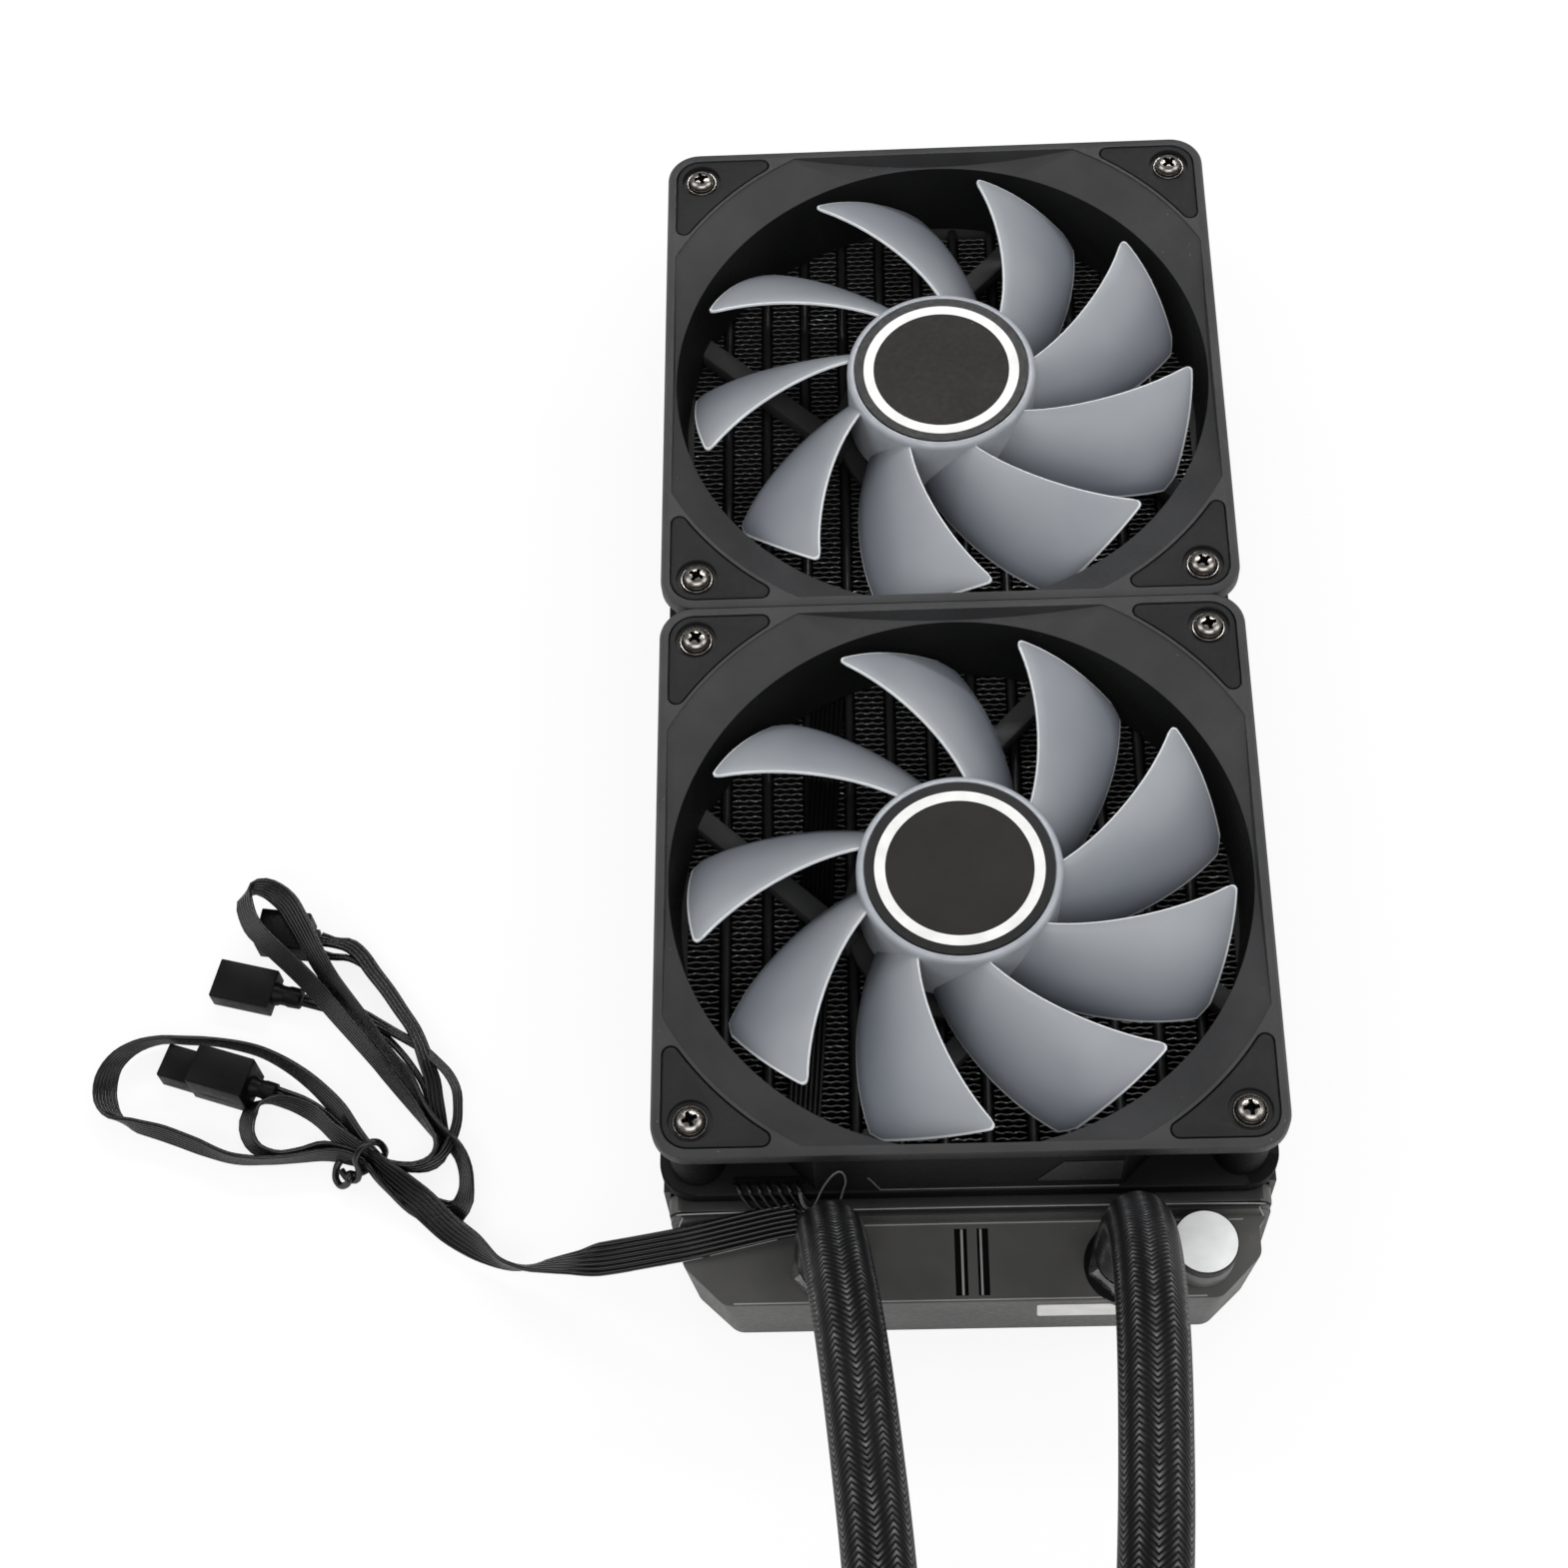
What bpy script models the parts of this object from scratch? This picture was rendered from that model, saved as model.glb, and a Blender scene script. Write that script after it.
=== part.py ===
"""Two-fan liquid cooler for a processor: radiator, two framed fans, two hoses and a pump head.

Every size below is in millimetres. Points are given from the middle of the two fans:
X to the right, Y away from the hose end, Z up from the surface the cooler lies on.
"""
import math

import bmesh
import bpy
from mathutils import Matrix, Vector

MM = 0.001

# Clearances between pieces that touch or slide
SEAT_GAP = 0.3
HOLE_GAP = 0.3
BEARING_GAP = 0.1

# Radiator, sized to carry the two fans
RADIATOR_NARROWER = 1.0
RADIATOR_DEPTH = 27.0
CORE_SHORTER = 4.6
CORE_INSET = 1.5
CORE_SIDES = 14.6
TUBE_THICKNESS = 2.0
TUBE_COUNT = 12
FIN_THICKNESS = 0.5
FIN_LEGS = 6
RAIL_WALL = 1.2
RAIL_LIP = 4.0
SCREW_TAB_WIDTH = 10.0
SCREW_TAB_HOLE_R = 1.8

# End tanks
HEADER_THICKNESS = 4.8
HEADER_CORNER = 3.0
TANK_HEIGHT = 22.5
TANK_LENGTH = 16.7
FAR_TANK_LENGTH = 10.7
TANK_SIDE_INSET = 2.3
TANK_CORNER_CUT = 13.5
TANK_SIDE_LENGTH = 4.5
TANK_DRAFT = 1.4
TANK_EDGE = 1.6
TANK_RIB_PITCH = 2.15
TANK_RIB_WIDTH = 0.9
TANK_RIB_DEPTH = 1.0
TANK_RIB_X = 0.6
TANK_BOSS_HEIGHT = 0.8
TANK_BOSS_R = 8.0

# Ports, hoses and the filling port
LEFT_PORT_FROM_SIDE = 32.5
RIGHT_PORT_FROM_SIDE = 29.5
PORT_FROM_FRONT = 7.0
PORT_NUT_FLATS = 12.0
PORT_NUT_HEIGHT = 4.0
PORT_STUB_R = 3.6
PORT_STUB_DEPTH = 7.0
BARB_R = 4.0
FERRULE_R = 7.2
FERRULE_LENGTH = 11.0
FERRULE_WALL = 1.2
HOSE_DIAMETER = 12.4
FILL_CAP_FROM_SIDE = 14.8
FILL_CAP_R = 6.3
FILL_CAP_HEIGHT = 9.0
FILL_STUB_R = 3.0

# Fans
FAN_SIZE = 120.0
FAN_DEPTH = 25.0
FAN_CORNER_R = 7.0
SCREW_FROM_SIDE = 7.5
FAN_FLANGE = 3.6
DUCT_FROM_SIDE = 3.2
DUCT_FLAT_INSET = 0.7
DUCT_FLAT_SHARE = 0.42
BELL_FROM_SCREW = 8.25
BELL_DEPTH = 4.8
BELL_RIM = 1.9
DUCT_FLARE = 1.0
CORNER_POST_R = 5.4
POST_WEB = 4.0
STRUT_WIDTH = 4.6
STRUT_HEIGHT = 4.0
STRUT_OUTER_DEG = 157.0
STRUT_INNER_DEG = 198.0
STRUT_INNER_R = 22.5
STRUT_SEAT = 1.2
MOTOR_BASE_R = 23.5
MOTOR_BASE_HEIGHT = 2.5
BEARING_TUBE_R = 5.4
BEARING_TUBE_TOP = 14.0
BEARING_R = 4.0
SHAFT_R = 1.5
FAN_HOLE_R = 2.2

# Rubber corner pads
PAD_THICKNESS = 1.3
PAD_GROOVE = 0.25
PAD_EDGE_INSET = 2.2
PAD_CORNER_R = 5.0
PAD_BELL_EDGE = 1.0
PAD_END_R = 2.2
PAD_HOLE_R = 4.2

# Rotor
HUB_R = 20.5
HUB_WALL = 1.5
HUB_BOTTOM = 6.0
HUB_TOP = 22.9
HUB_ROOF = 1.9
HUB_BOSS_R = 3.4
HUB_BOSS_BOTTOM = 15.5
HUB_DISC_R = 18.75
HUB_DISC_THICKNESS = 0.6
MAGNET_WALL = 1.8
MAGNET_HEIGHT = 11.0
STATOR_R = 15.6
STATOR_TOOTH_WIDTH = 5.0
STATOR_SHOE = 2.4
STATOR_HEIGHT = 9.0
STATOR_BOTTOM = 4.0
BLADE_COUNT = 9
BLADE_TIP_GAP = 2.5
BLADE_THICKNESS = 1.3
BLADE_CAMBER = -0.13
BLADE_ROWS = 2
BLADE_COLUMNS = 3
ROTOR_PHASES_DEG = (-3.8, 0.7)

# Screws
SCREW_SHANK_R = 1.4
SCREW_HEAD_R = 2.7
SCREW_HEAD_HEIGHT = 1.7
SCREW_WASHER_R = 3.3
SCREW_WASHER_HEIGHT = 0.5
SCREW_LENGTH = 25.2

# Fan leads: flat ribbons of round wires
WIRE_PITCH = 1.05
LINK_WIRES = 7
LINK_X = -25.7
LINK_TURN = 3.5
LEAD_CORE_R = 0.5
TIE_WIRE_R = 0.65
TIE_HEIGHT = 5.5
TIE_HALF_WIDTH = 5.0
TIE_HALF_HEIGHT = 4.8
FAN_LEAD_STEP = 12.0
SHORT_LEAD_STEP = 8.0
TAIL_LEAD_STEP = 6.0
HOSE_STEP = 29.8

# Pump head
PUMP_FROM_PORTS = 349.5
PUMP_R = 33.0
PUMP_BASE_HALF = 31.0
PUMP_BASE_CORNER = 12.0
PUMP_BASE_HEIGHT = 7.0
PUMP_HOUSING_TOP = 31.0
PUMP_COVER_HEIGHT = 12.0
PUMP_COVER_WALL = 2.0
PUMP_COVER_EDGE = 3.0
COLD_PLATE_HALF = 28.0
COLD_PLATE_CORNER = 6.0
COLD_PLATE_THICKNESS = 3.0
PUMP_CHAMBER_R = 14.5
PUMP_CHAMBER_HEIGHT = 11.0
PUMP_CAN_R = 7.2
PUMP_CAN_TOP = 26.0
PUMP_CAN_WALL = 1.3
PUMP_STATOR_R = 19.0
PUMP_STATOR_HEIGHT = 10.0
IMPELLER_R = 12.5
IMPELLER_VANES = 6
IMPELLER_VANE_HEIGHT = 4.0
IMPELLER_PLATE = 1.6
PUMP_SHAFT_R = 1.0
PUMP_FITTING_X = 13.0
PUMP_FITTING_Z = 20.0
PUMP_FITTING_REACH = 5.0
PUMP_FLAT_DEPTH = 6.0
PUMP_FLAT_SIDE = 9.0
PUMP_FLAT_BELOW = 8.5

# Facets of round pieces
LARGE_FACET_COUNT = 32
MEDIUM_FACET_COUNT = 16
SMALL_FACET_COUNT = 12
TINY_FACET_COUNT = 6

# Sizes that follow from the fans' size
FAN_HALF = FAN_SIZE / 2
FAN_CENTRES_Y = (-FAN_HALF, FAN_HALF)
SCREW_OFFSET = FAN_HALF - SCREW_FROM_SIDE
DUCT_R = FAN_HALF - DUCT_FROM_SIDE
BELL_R = SCREW_OFFSET * math.sqrt(2) - BELL_FROM_SCREW
PAD_ARC_R = BELL_R + PAD_BELL_EDGE
BLADE_TIP_R = DUCT_R - BLADE_TIP_GAP
HALF_RADIATOR = FAN_HALF - RADIATOR_NARROWER / 2
CORE_HALF = FAN_SIZE - CORE_SHORTER / 2
TUBE_PITCH = (2 * HALF_RADIATOR - CORE_SIDES) / TUBE_COUNT
TANK_HALF_WIDTH = HALF_RADIATOR - TANK_SIDE_INSET
TANK_FRONT_HALF_WIDTH = HALF_RADIATOR - TANK_CORNER_CUT
PORT_XS = (LEFT_PORT_FROM_SIDE - HALF_RADIATOR, HALF_RADIATOR - RIGHT_PORT_FROM_SIDE)
FILL_CAP_X = HALF_RADIATOR - FILL_CAP_FROM_SIDE

# Places that several pieces share
HEADER_START = CORE_HALF + SEAT_GAP
HEADER_END = HEADER_START + HEADER_THICKNESS
NEAR_TANK_FRONT = -(HEADER_END + TANK_LENGTH)
FAR_TANK_BACK = HEADER_END + FAR_TANK_LENGTH
PORT_Y = NEAR_TANK_FRONT + PORT_FROM_FRONT
NUT_BOTTOM = TANK_HEIGHT + TANK_BOSS_HEIGHT + SEAT_GAP
NUT_TOP = NUT_BOTTOM + PORT_NUT_HEIGHT
FERRULE_BOTTOM = NUT_TOP + SEAT_GAP
FERRULE_TOP = FERRULE_BOTTOM + FERRULE_LENGTH
FAN_BOTTOM = RADIATOR_DEPTH + SEAT_GAP
PAD_FLOOR = FAN_DEPTH - PAD_THICKNESS - SEAT_GAP
PUMP_CENTRE_Y = PORT_Y - PUMP_FROM_PORTS
PUMP_FRONT_Y = PUMP_CENTRE_Y + PUMP_R
PUMP_BACK_Y = PUMP_CENTRE_Y - PUMP_R
HOUSING_BOTTOM = COLD_PLATE_THICKNESS + SEAT_GAP
ORIGIN_Y = (FAR_TANK_BACK + PUMP_BACK_Y) / 2


def clear_scene():
    """Start from an empty scene."""
    for item in list(bpy.data.objects):
        bpy.data.objects.remove(item)


def make_material(name, colour, roughness, metallic=0.0):
    """A plain surface finish."""
    material = bpy.data.materials.new(name)
    material.use_nodes = True
    shader = material.node_tree.nodes["Principled BSDF"]
    shader.inputs["Base Color"].default_value = (*colour, 1.0)
    shader.inputs["Roughness"].default_value = roughness
    shader.inputs["Metallic"].default_value = metallic
    material.diffuse_color = (*colour, 1.0)
    return material


def add_object(name, shape, material, place=(0.0, 0.0, 0.0), turn_deg=0.0):
    """Turn a shape drawn in millimetres into a named object standing at place."""
    bmesh.ops.recalc_face_normals(shape, faces=shape.faces)
    bmesh.ops.scale(shape, vec=(MM, MM, MM), verts=shape.verts)
    mesh = bpy.data.meshes.new(name)
    shape.to_mesh(mesh)
    shape.free()
    return add_mesh(name, mesh, material, place, turn_deg)


def add_mesh(name, mesh, material, place=(0.0, 0.0, 0.0), turn_deg=0.0):
    """Place a finished mesh as an object of its own."""
    mesh.materials.clear()
    mesh.materials.append(material)
    mesh.shade_smooth()
    mesh.set_sharp_from_angle(angle=math.radians(35))
    thing = bpy.data.objects.new(name, mesh)
    bpy.context.collection.objects.link(thing)
    thing.location = Vector(place) * MM
    thing.rotation_euler = (0.0, 0.0, math.radians(turn_deg))
    return thing


def combine(base, tools, operation):
    """Join tools to a shape or cut them from it, and hand back the result as a shape."""
    body = shape_object("body", base)
    helpers = [shape_object("helper", tool) for tool in tools]
    for helper in helpers:
        modifier = body.modifiers.new("combine", "BOOLEAN")
        modifier.operation = operation
        modifier.object = helper
        modifier.solver = "EXACT"
    bpy.context.view_layer.update()
    depsgraph = bpy.context.evaluated_depsgraph_get()
    mesh = bpy.data.meshes.new_from_object(body.evaluated_get(depsgraph))
    result = bmesh.new()
    result.from_mesh(mesh)
    bmesh.ops.remove_doubles(result, verts=result.verts, dist=0.0005)
    for thing in [body, *helpers]:
        bpy.data.objects.remove(thing)
    bpy.data.meshes.remove(mesh)
    return result


def shape_object(name, shape):
    """A temporary object that holds a shape for a cut or a join."""
    bmesh.ops.recalc_face_normals(shape, faces=shape.faces)
    mesh = bpy.data.meshes.new(name)
    shape.to_mesh(mesh)
    shape.free()
    thing = bpy.data.objects.new(name, mesh)
    bpy.context.collection.objects.link(thing)
    return thing


def merge(shapes):
    """Several separate shapes held in one."""
    result = bmesh.new()
    for shape in shapes:
        mesh = bpy.data.meshes.new("merge")
        bmesh.ops.recalc_face_normals(shape, faces=shape.faces)
        shape.to_mesh(mesh)
        shape.free()
        result.from_mesh(mesh)
        bpy.data.meshes.remove(mesh)
    return result


def moved(shape, offset=(0.0, 0.0, 0.0), turn_deg=0.0, axis="Z"):
    """Turn a shape about the origin, then shift it."""
    turn = Matrix.Rotation(math.radians(turn_deg), 4, axis)
    bmesh.ops.transform(shape, matrix=Matrix.Translation(Vector(offset)) @ turn, verts=shape.verts)
    return shape


def polar(radius, degrees):
    """A point on a circle."""
    return (radius * math.cos(math.radians(degrees)), radius * math.sin(math.radians(degrees)))


def arc(centre, radius, start_deg, end_deg, steps):
    """Points along an arc."""
    points = []
    for i in range(steps + 1):
        x, y = polar(radius, start_deg + (end_deg - start_deg) * i / steps)
        points.append((centre[0] + x, centre[1] + y))
    return points


def rounded_rectangle(half_x, half_y, radius, steps=3):
    """Outline of a rectangle with round corners."""
    points = []
    for quarter, (sx, sy) in enumerate(((1, 1), (-1, 1), (-1, -1), (1, -1))):
        centre = (sx * (half_x - radius), sy * (half_y - radius))
        points += arc(centre, radius, 90 * quarter, 90 * quarter + 90, steps)
    return points


def rounded_polygon(corners, radius, steps=3):
    """Outline with each corner, listed anticlockwise, rounded by its own or a shared radius."""
    points = []
    count = len(corners)
    for i, corner in enumerate(corners):
        here = Vector(corner[:2])
        back = (Vector(corners[i - 1][:2]) - here).normalized()
        ahead = (Vector(corners[(i + 1) % count][:2]) - here).normalized()
        bend = corner[2] if len(corner) > 2 else radius
        half = back.angle(ahead) / 2
        centre = here + (back + ahead).normalized() * (bend / math.sin(half))
        first = here + back * (bend / math.tan(half))
        last = here + ahead * (bend / math.tan(half))
        start = math.atan2(first.y - centre.y, first.x - centre.x)
        sweep = math.atan2(last.y - centre.y, last.x - centre.x) - start
        sweep = (sweep + math.pi) % (2 * math.pi) - math.pi
        for step in range(steps + 1):
            angle = start + sweep * step / steps
            points.append((centre.x + bend * math.cos(angle), centre.y + bend * math.sin(angle)))
    return points


def prism(outline, bottom, top, bottom_scale=1.0):
    """A flat outline drawn up from bottom to top."""
    shape = bmesh.new()
    rim = [shape.verts.new((x, y, top)) for x, y in outline]
    face = shape.faces.new(rim)
    drawn = bmesh.ops.extrude_face_region(shape, geom=[face])
    lower = [item for item in drawn["geom"] if isinstance(item, bmesh.types.BMVert)]
    for vert in lower:
        vert.co.x *= bottom_scale
        vert.co.y *= bottom_scale
        vert.co.z = bottom
    return shape


def ring_prism(outline, hole, bottom, top):
    """A flat outline with one hole, drawn up from bottom to top."""
    shape = bmesh.new()
    loops = []
    for points in (outline, hole):
        verts = [shape.verts.new((x, y, top)) for x, y in points]
        loops += [shape.edges.new((verts[i - 1], verts[i])) for i in range(len(verts))]
    bmesh.ops.triangle_fill(shape, edges=loops, use_beauty=True, use_dissolve=False)
    drawn = bmesh.ops.extrude_face_region(shape, geom=list(shape.faces))
    lower = [item for item in drawn["geom"] if isinstance(item, bmesh.types.BMVert)]
    for vert in lower:
        vert.co.z = bottom
    return shape


def turned(profile, facets):
    """A closed profile of (radius, height) points turned once about the Z axis."""
    shape = bmesh.new()
    verts = [shape.verts.new((radius, 0.0, height)) for radius, height in profile]
    edges = [shape.edges.new((verts[i], verts[i + 1])) for i in range(len(verts) - 1)]
    if profile[0][0] > 0.0:
        edges.append(shape.edges.new((verts[-1], verts[0])))
    bmesh.ops.spin(
        shape,
        geom=verts + edges,
        cent=(0.0, 0.0, 0.0),
        axis=(0.0, 0.0, 1.0),
        angle=2 * math.pi,
        steps=facets,
        use_merge=True,
    )
    bmesh.ops.remove_doubles(shape, verts=shape.verts, dist=0.0005)
    return shape


def rod(radius, bottom, top, facets):
    """A round bar about the Z axis."""
    return prism(arc((0.0, 0.0), radius, 0, 360 - 360 / facets, facets - 1), bottom, top)


def tube(outer, inner, bottom, top, facets):
    """A round tube about the Z axis."""
    return turned([(inner, bottom), (outer, bottom), (outer, top), (inner, top)], facets)


def box(low, high):
    """A block between two opposite corners."""
    corners = [(low[0], low[1]), (high[0], low[1]), (high[0], high[1]), (low[0], high[1])]
    return prism(corners, low[2], high[2])


def soften_edges(shape, size, chosen, segments=1):
    """Bevel the edges for which chosen says yes."""
    edges = [edge for edge in shape.edges if chosen(edge)]
    bmesh.ops.bevel(
        shape,
        geom=edges,
        offset=size,
        segments=segments,
        profile=0.5,
        affect="EDGES",
        clamp_overlap=True,
    )
    return shape


def edge_at_height(height):
    """A test for edges that lie flat at one height."""
    def test(edge):
        return all(abs(vert.co.z - height) < 0.001 for vert in edge.verts)
    return test


def smooth_route(points, spacing):
    """Points at even steps along a smooth curve through the given ones, the second of them kept."""
    knots = [Vector(point) for point in points]
    knots = [knots[0] * 2 - knots[1], *knots, knots[-1] * 2 - knots[-2]]
    fine = []
    for i in range(1, len(knots) - 2):
        a, b, c, d = knots[i - 1:i + 3]
        for step in range(12):
            t = step / 12
            fine.append(0.5 * (2 * b + (c - a) * t + (2 * a - 5 * b + 4 * c - d) * t * t
                               + (3 * b - a - 3 * c + d) * t ** 3))
    fine.append(knots[-2])
    length = sum((fine[i + 1] - fine[i]).length for i in range(len(fine) - 1))
    count = max(2, round(length / spacing))
    route = [fine[0]]
    walked = 0.0
    for i in range(len(fine) - 1):
        stretch = (fine[i + 1] - fine[i]).length
        while len(route) < count and walked + stretch >= len(route) * length / count:
            share = (len(route) * length / count - walked) / stretch
            route.append(fine[i].lerp(fine[i + 1], share))
        walked += stretch
    route.append(fine[-1])
    return [route[0], Vector(points[1]), *route[1:]]


def add_cord(name, points, radius, spacing, material, sides=2):
    """A round cord through the given points, closed at both ends."""
    route = smooth_route(points, spacing)
    curve = bpy.data.curves.new(name, "CURVE")
    curve.dimensions = "3D"
    curve.bevel_depth = radius * MM
    curve.bevel_resolution = sides
    curve.use_fill_caps = True
    curve.render_resolution_u = 0
    spline = curve.splines.new("POLY")
    spline.points.add(len(route) - 1)
    for knot, place in zip(spline.points, route):
        knot.co = (*(place * MM), 1.0)
    curve.materials.append(material)
    cord = bpy.data.objects.new(name, curve)
    bpy.context.collection.objects.link(cord)
    return cord


# Radiator

def core_shape():
    """Flat tubes along Y with a folded fin between each pair, drawn as one flat pattern."""
    shape = bmesh.new()
    half = CORE_HALF
    tube_xs = [(i - (TUBE_COUNT - 1) / 2) * TUBE_PITCH for i in range(TUBE_COUNT)]
    wall_x = HALF_RADIATOR - RAIL_WALL - SEAT_GAP
    strips = [(-wall_x, -wall_x + FIN_THICKNESS)]
    strips += [(x - TUBE_THICKNESS / 2, x + TUBE_THICKNESS / 2) for x in tube_xs]
    strips.append((wall_x - FIN_THICKNESS, wall_x))
    end_wall = TUBE_THICKNESS
    inner = half - end_wall
    leg = 2 * inner / FIN_LEGS
    top = RADIATOR_DEPTH - CORE_INSET
    left_contacts = []
    right_contacts = []
    for i in range(FIN_LEGS + 1):
        y = -inner + i * leg
        contact = []
        if i > 0:
            contact.append(y - FIN_THICKNESS)
        contact.append(y)
        if i < FIN_LEGS:
            contact.append(y + FIN_THICKNESS)
        if i % 2:
            right_contacts += contact
        else:
            left_contacts += contact

    def add_vert(x, y):
        key = (round(x, 4), round(y, 4))
        if key not in grid:
            grid[key] = shape.verts.new((x, y, top))
        return grid[key]

    grid = {}
    for number, (x0, x1) in enumerate(strips):
        right_side = left_contacts if number < len(strips) - 1 else []
        left_side = right_contacts if number > 0 else []
        rising = [(x1, y) for y in right_side if abs(y) < inner - 0.001]
        falling = [(x0, y) for y in reversed(left_side) if abs(y) < inner - 0.001]
        outline = [(x0, -inner), (x1, -inner), *rising, (x1, inner), (x0, inner), *falling]
        shape.faces.new([add_vert(x, y) for x, y in outline])
    for (_, x0), (x1, _) in zip(strips, strips[1:]):
        for i in range(FIN_LEGS):
            y0 = -inner + i * leg
            y1 = y0 + leg
            start_x, end_x = (x1, x0) if i % 2 else (x0, x1)
            corners = [(start_x, y0), (end_x, y1 - FIN_THICKNESS)]
            corners += [(end_x, y1), (start_x, y0 + FIN_THICKNESS)]
            shape.faces.new([add_vert(x, y) for x, y in corners])
    for side in (-1, 1):
        near = [(x, side * inner) for pair in strips for x in pair]
        far = [(strips[-1][1], side * half), (strips[0][0], side * half)]
        shape.faces.new([add_vert(x, y) for x, y in near + far])
    bmesh.ops.recalc_face_normals(shape, faces=shape.faces)
    drawn = bmesh.ops.extrude_face_region(shape, geom=list(shape.faces))
    for item in drawn["geom"]:
        if isinstance(item, bmesh.types.BMVert):
            item.co.z = CORE_INSET
    return shape


def rail_flange(bottom):
    """Folded lip of a side rail with its four drilled screw tabs."""
    half_tab = SCREW_TAB_WIDTH / 2
    lip = HALF_RADIATOR - RAIL_LIP
    shape = bmesh.new()
    outline = [(lip, -CORE_HALF), (HALF_RADIATOR, -CORE_HALF), (HALF_RADIATOR, CORE_HALF), (lip, CORE_HALF)]
    loops = []
    for y in sorted((c + side * SCREW_OFFSET for c in FAN_CENTRES_Y for side in (-1, 1)), reverse=True):
        nose = arc((SCREW_OFFSET, y), half_tab - 1.0, 90, 270, 2)
        outline += [(lip, y + half_tab), *nose, (lip, y - half_tab)]
        loops.append(arc((SCREW_OFFSET, y), SCREW_TAB_HOLE_R, 0, 300, 5))
    edges = []
    for points in (outline, *loops):
        verts = [shape.verts.new((x, y, bottom)) for x, y in points]
        edges += [shape.edges.new((verts[i - 1], verts[i])) for i in range(len(verts))]
    bmesh.ops.triangle_fill(shape, edges=edges, use_beauty=True, use_dissolve=False)
    drawn = bmesh.ops.extrude_face_region(shape, geom=list(shape.faces))
    for item in drawn["geom"]:
        if isinstance(item, bmesh.types.BMVert):
            item.co.z = bottom + RAIL_WALL
    return shape


def rail_shape(side):
    """Side rail folded from sheet: a wall between two drilled lips."""
    wall = box((HALF_RADIATOR - RAIL_WALL, -CORE_HALF, RAIL_WALL / 2),
               (HALF_RADIATOR, CORE_HALF, RADIATOR_DEPTH - RAIL_WALL / 2))
    rail = combine(wall, [rail_flange(0.0), rail_flange(RADIATOR_DEPTH - RAIL_WALL)], "UNION")
    if side < 0:
        rail = moved(rail, turn_deg=180)
    return rail


def tank_outline(length, shrink):
    """Plan of an end tank from its header, corners cut back towards its closed end."""
    front = HEADER_END + length - shrink
    half = TANK_HALF_WIDTH - shrink
    nose = TANK_FRONT_HALF_WIDTH - shrink * 0.4
    side = HEADER_END + TANK_SIDE_LENGTH
    start = HEADER_END - 1.0
    corners = [
        (-half, start, 0.2), (half, start, 0.2), (half, side, 5.0),
        (nose, front, 4.0), (-nose, front, 4.0), (-half, side, 5.0),
    ]
    return rounded_polygon(corners, 1.0, 3)


def tank_shape(length):
    """End tank with its raised header band, drawn at the +Y end."""
    top_outline = tank_outline(length, 0.0)
    low_outline = tank_outline(length, TANK_DRAFT)
    tank = bmesh.new()
    top = [tank.verts.new((x, y, TANK_HEIGHT)) for x, y in top_outline]
    low = [tank.verts.new((x, y, 0.0)) for x, y in low_outline]
    tank.faces.new(top)
    tank.faces.new(list(reversed(low)))
    for i in range(len(top)):
        tank.faces.new([low[i - 1], low[i], top[i], top[i - 1]])
    tank = soften_edges(tank, TANK_EDGE, edge_at_height(TANK_HEIGHT), 2)
    band = moved(prism(rounded_rectangle(HALF_RADIATOR - SEAT_GAP, RADIATOR_DEPTH / 2, HEADER_CORNER),
                       HEADER_START, HEADER_END), turn_deg=-90, axis="X")
    band = moved(band, (0.0, 0.0, RADIATOR_DEPTH / 2))
    return combine(band, [tank], "UNION")


def near_tank_shape():
    """Tank at the hose end, with port bosses, sockets, a filling hole and three short ribs."""
    tank = moved(tank_shape(TANK_LENGTH), turn_deg=180)
    bosses = [moved(rod(TANK_BOSS_R, TANK_HEIGHT - 1.0, TANK_HEIGHT + TANK_BOSS_HEIGHT, SMALL_FACET_COUNT),
                    (x, PORT_Y, 0.0)) for x in PORT_XS]
    tank = combine(tank, [merge(bosses)], "UNION")
    rib_start = -HEADER_END - 1.2
    rib_end = NEAR_TANK_FRONT + TANK_EDGE + 0.4
    cuts = []
    slot = (TANK_RIB_PITCH - TANK_RIB_WIDTH) / 2
    for number in range(4):
        middle = TANK_RIB_X + (number - 1.5) * TANK_RIB_PITCH
        cuts.append(box((middle - slot, rib_end, TANK_HEIGHT - TANK_RIB_DEPTH),
                        (middle + slot, rib_start, TANK_HEIGHT + 1.0)))
    socket_floor = NUT_BOTTOM - PORT_STUB_DEPTH - SEAT_GAP
    for x in PORT_XS:
        cuts.append(moved(rod(PORT_STUB_R + HOLE_GAP, socket_floor, NUT_BOTTOM + 1.0, SMALL_FACET_COUNT),
                          (x, PORT_Y, 0.0)))
    cuts.append(moved(rod(FILL_STUB_R + HOLE_GAP, socket_floor, NUT_BOTTOM + 1.0, SMALL_FACET_COUNT),
                      (FILL_CAP_X, PORT_Y, 0.0)))
    return combine(tank, [merge(cuts)], "DIFFERENCE")


def fitting_shape():
    """Port fitting: threaded stub, hexagonal nut and hose barb in one turned piece."""
    stub = NUT_BOTTOM - PORT_STUB_DEPTH
    nut = prism(arc((0.0, 0.0), PORT_NUT_FLATS / math.sqrt(3), 15, 315, 5), NUT_BOTTOM, NUT_TOP)
    barb_top = FERRULE_TOP - FERRULE_WALL
    stem = turned([
        (0.0, stub), (PORT_STUB_R, stub), (PORT_STUB_R, NUT_BOTTOM + 0.5), (BARB_R, NUT_TOP - 0.5),
        (BARB_R, barb_top - 1.0), (BARB_R - 0.8, barb_top), (0.0, barb_top),
    ], SMALL_FACET_COUNT)
    return combine(nut, [stem], "UNION")


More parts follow.
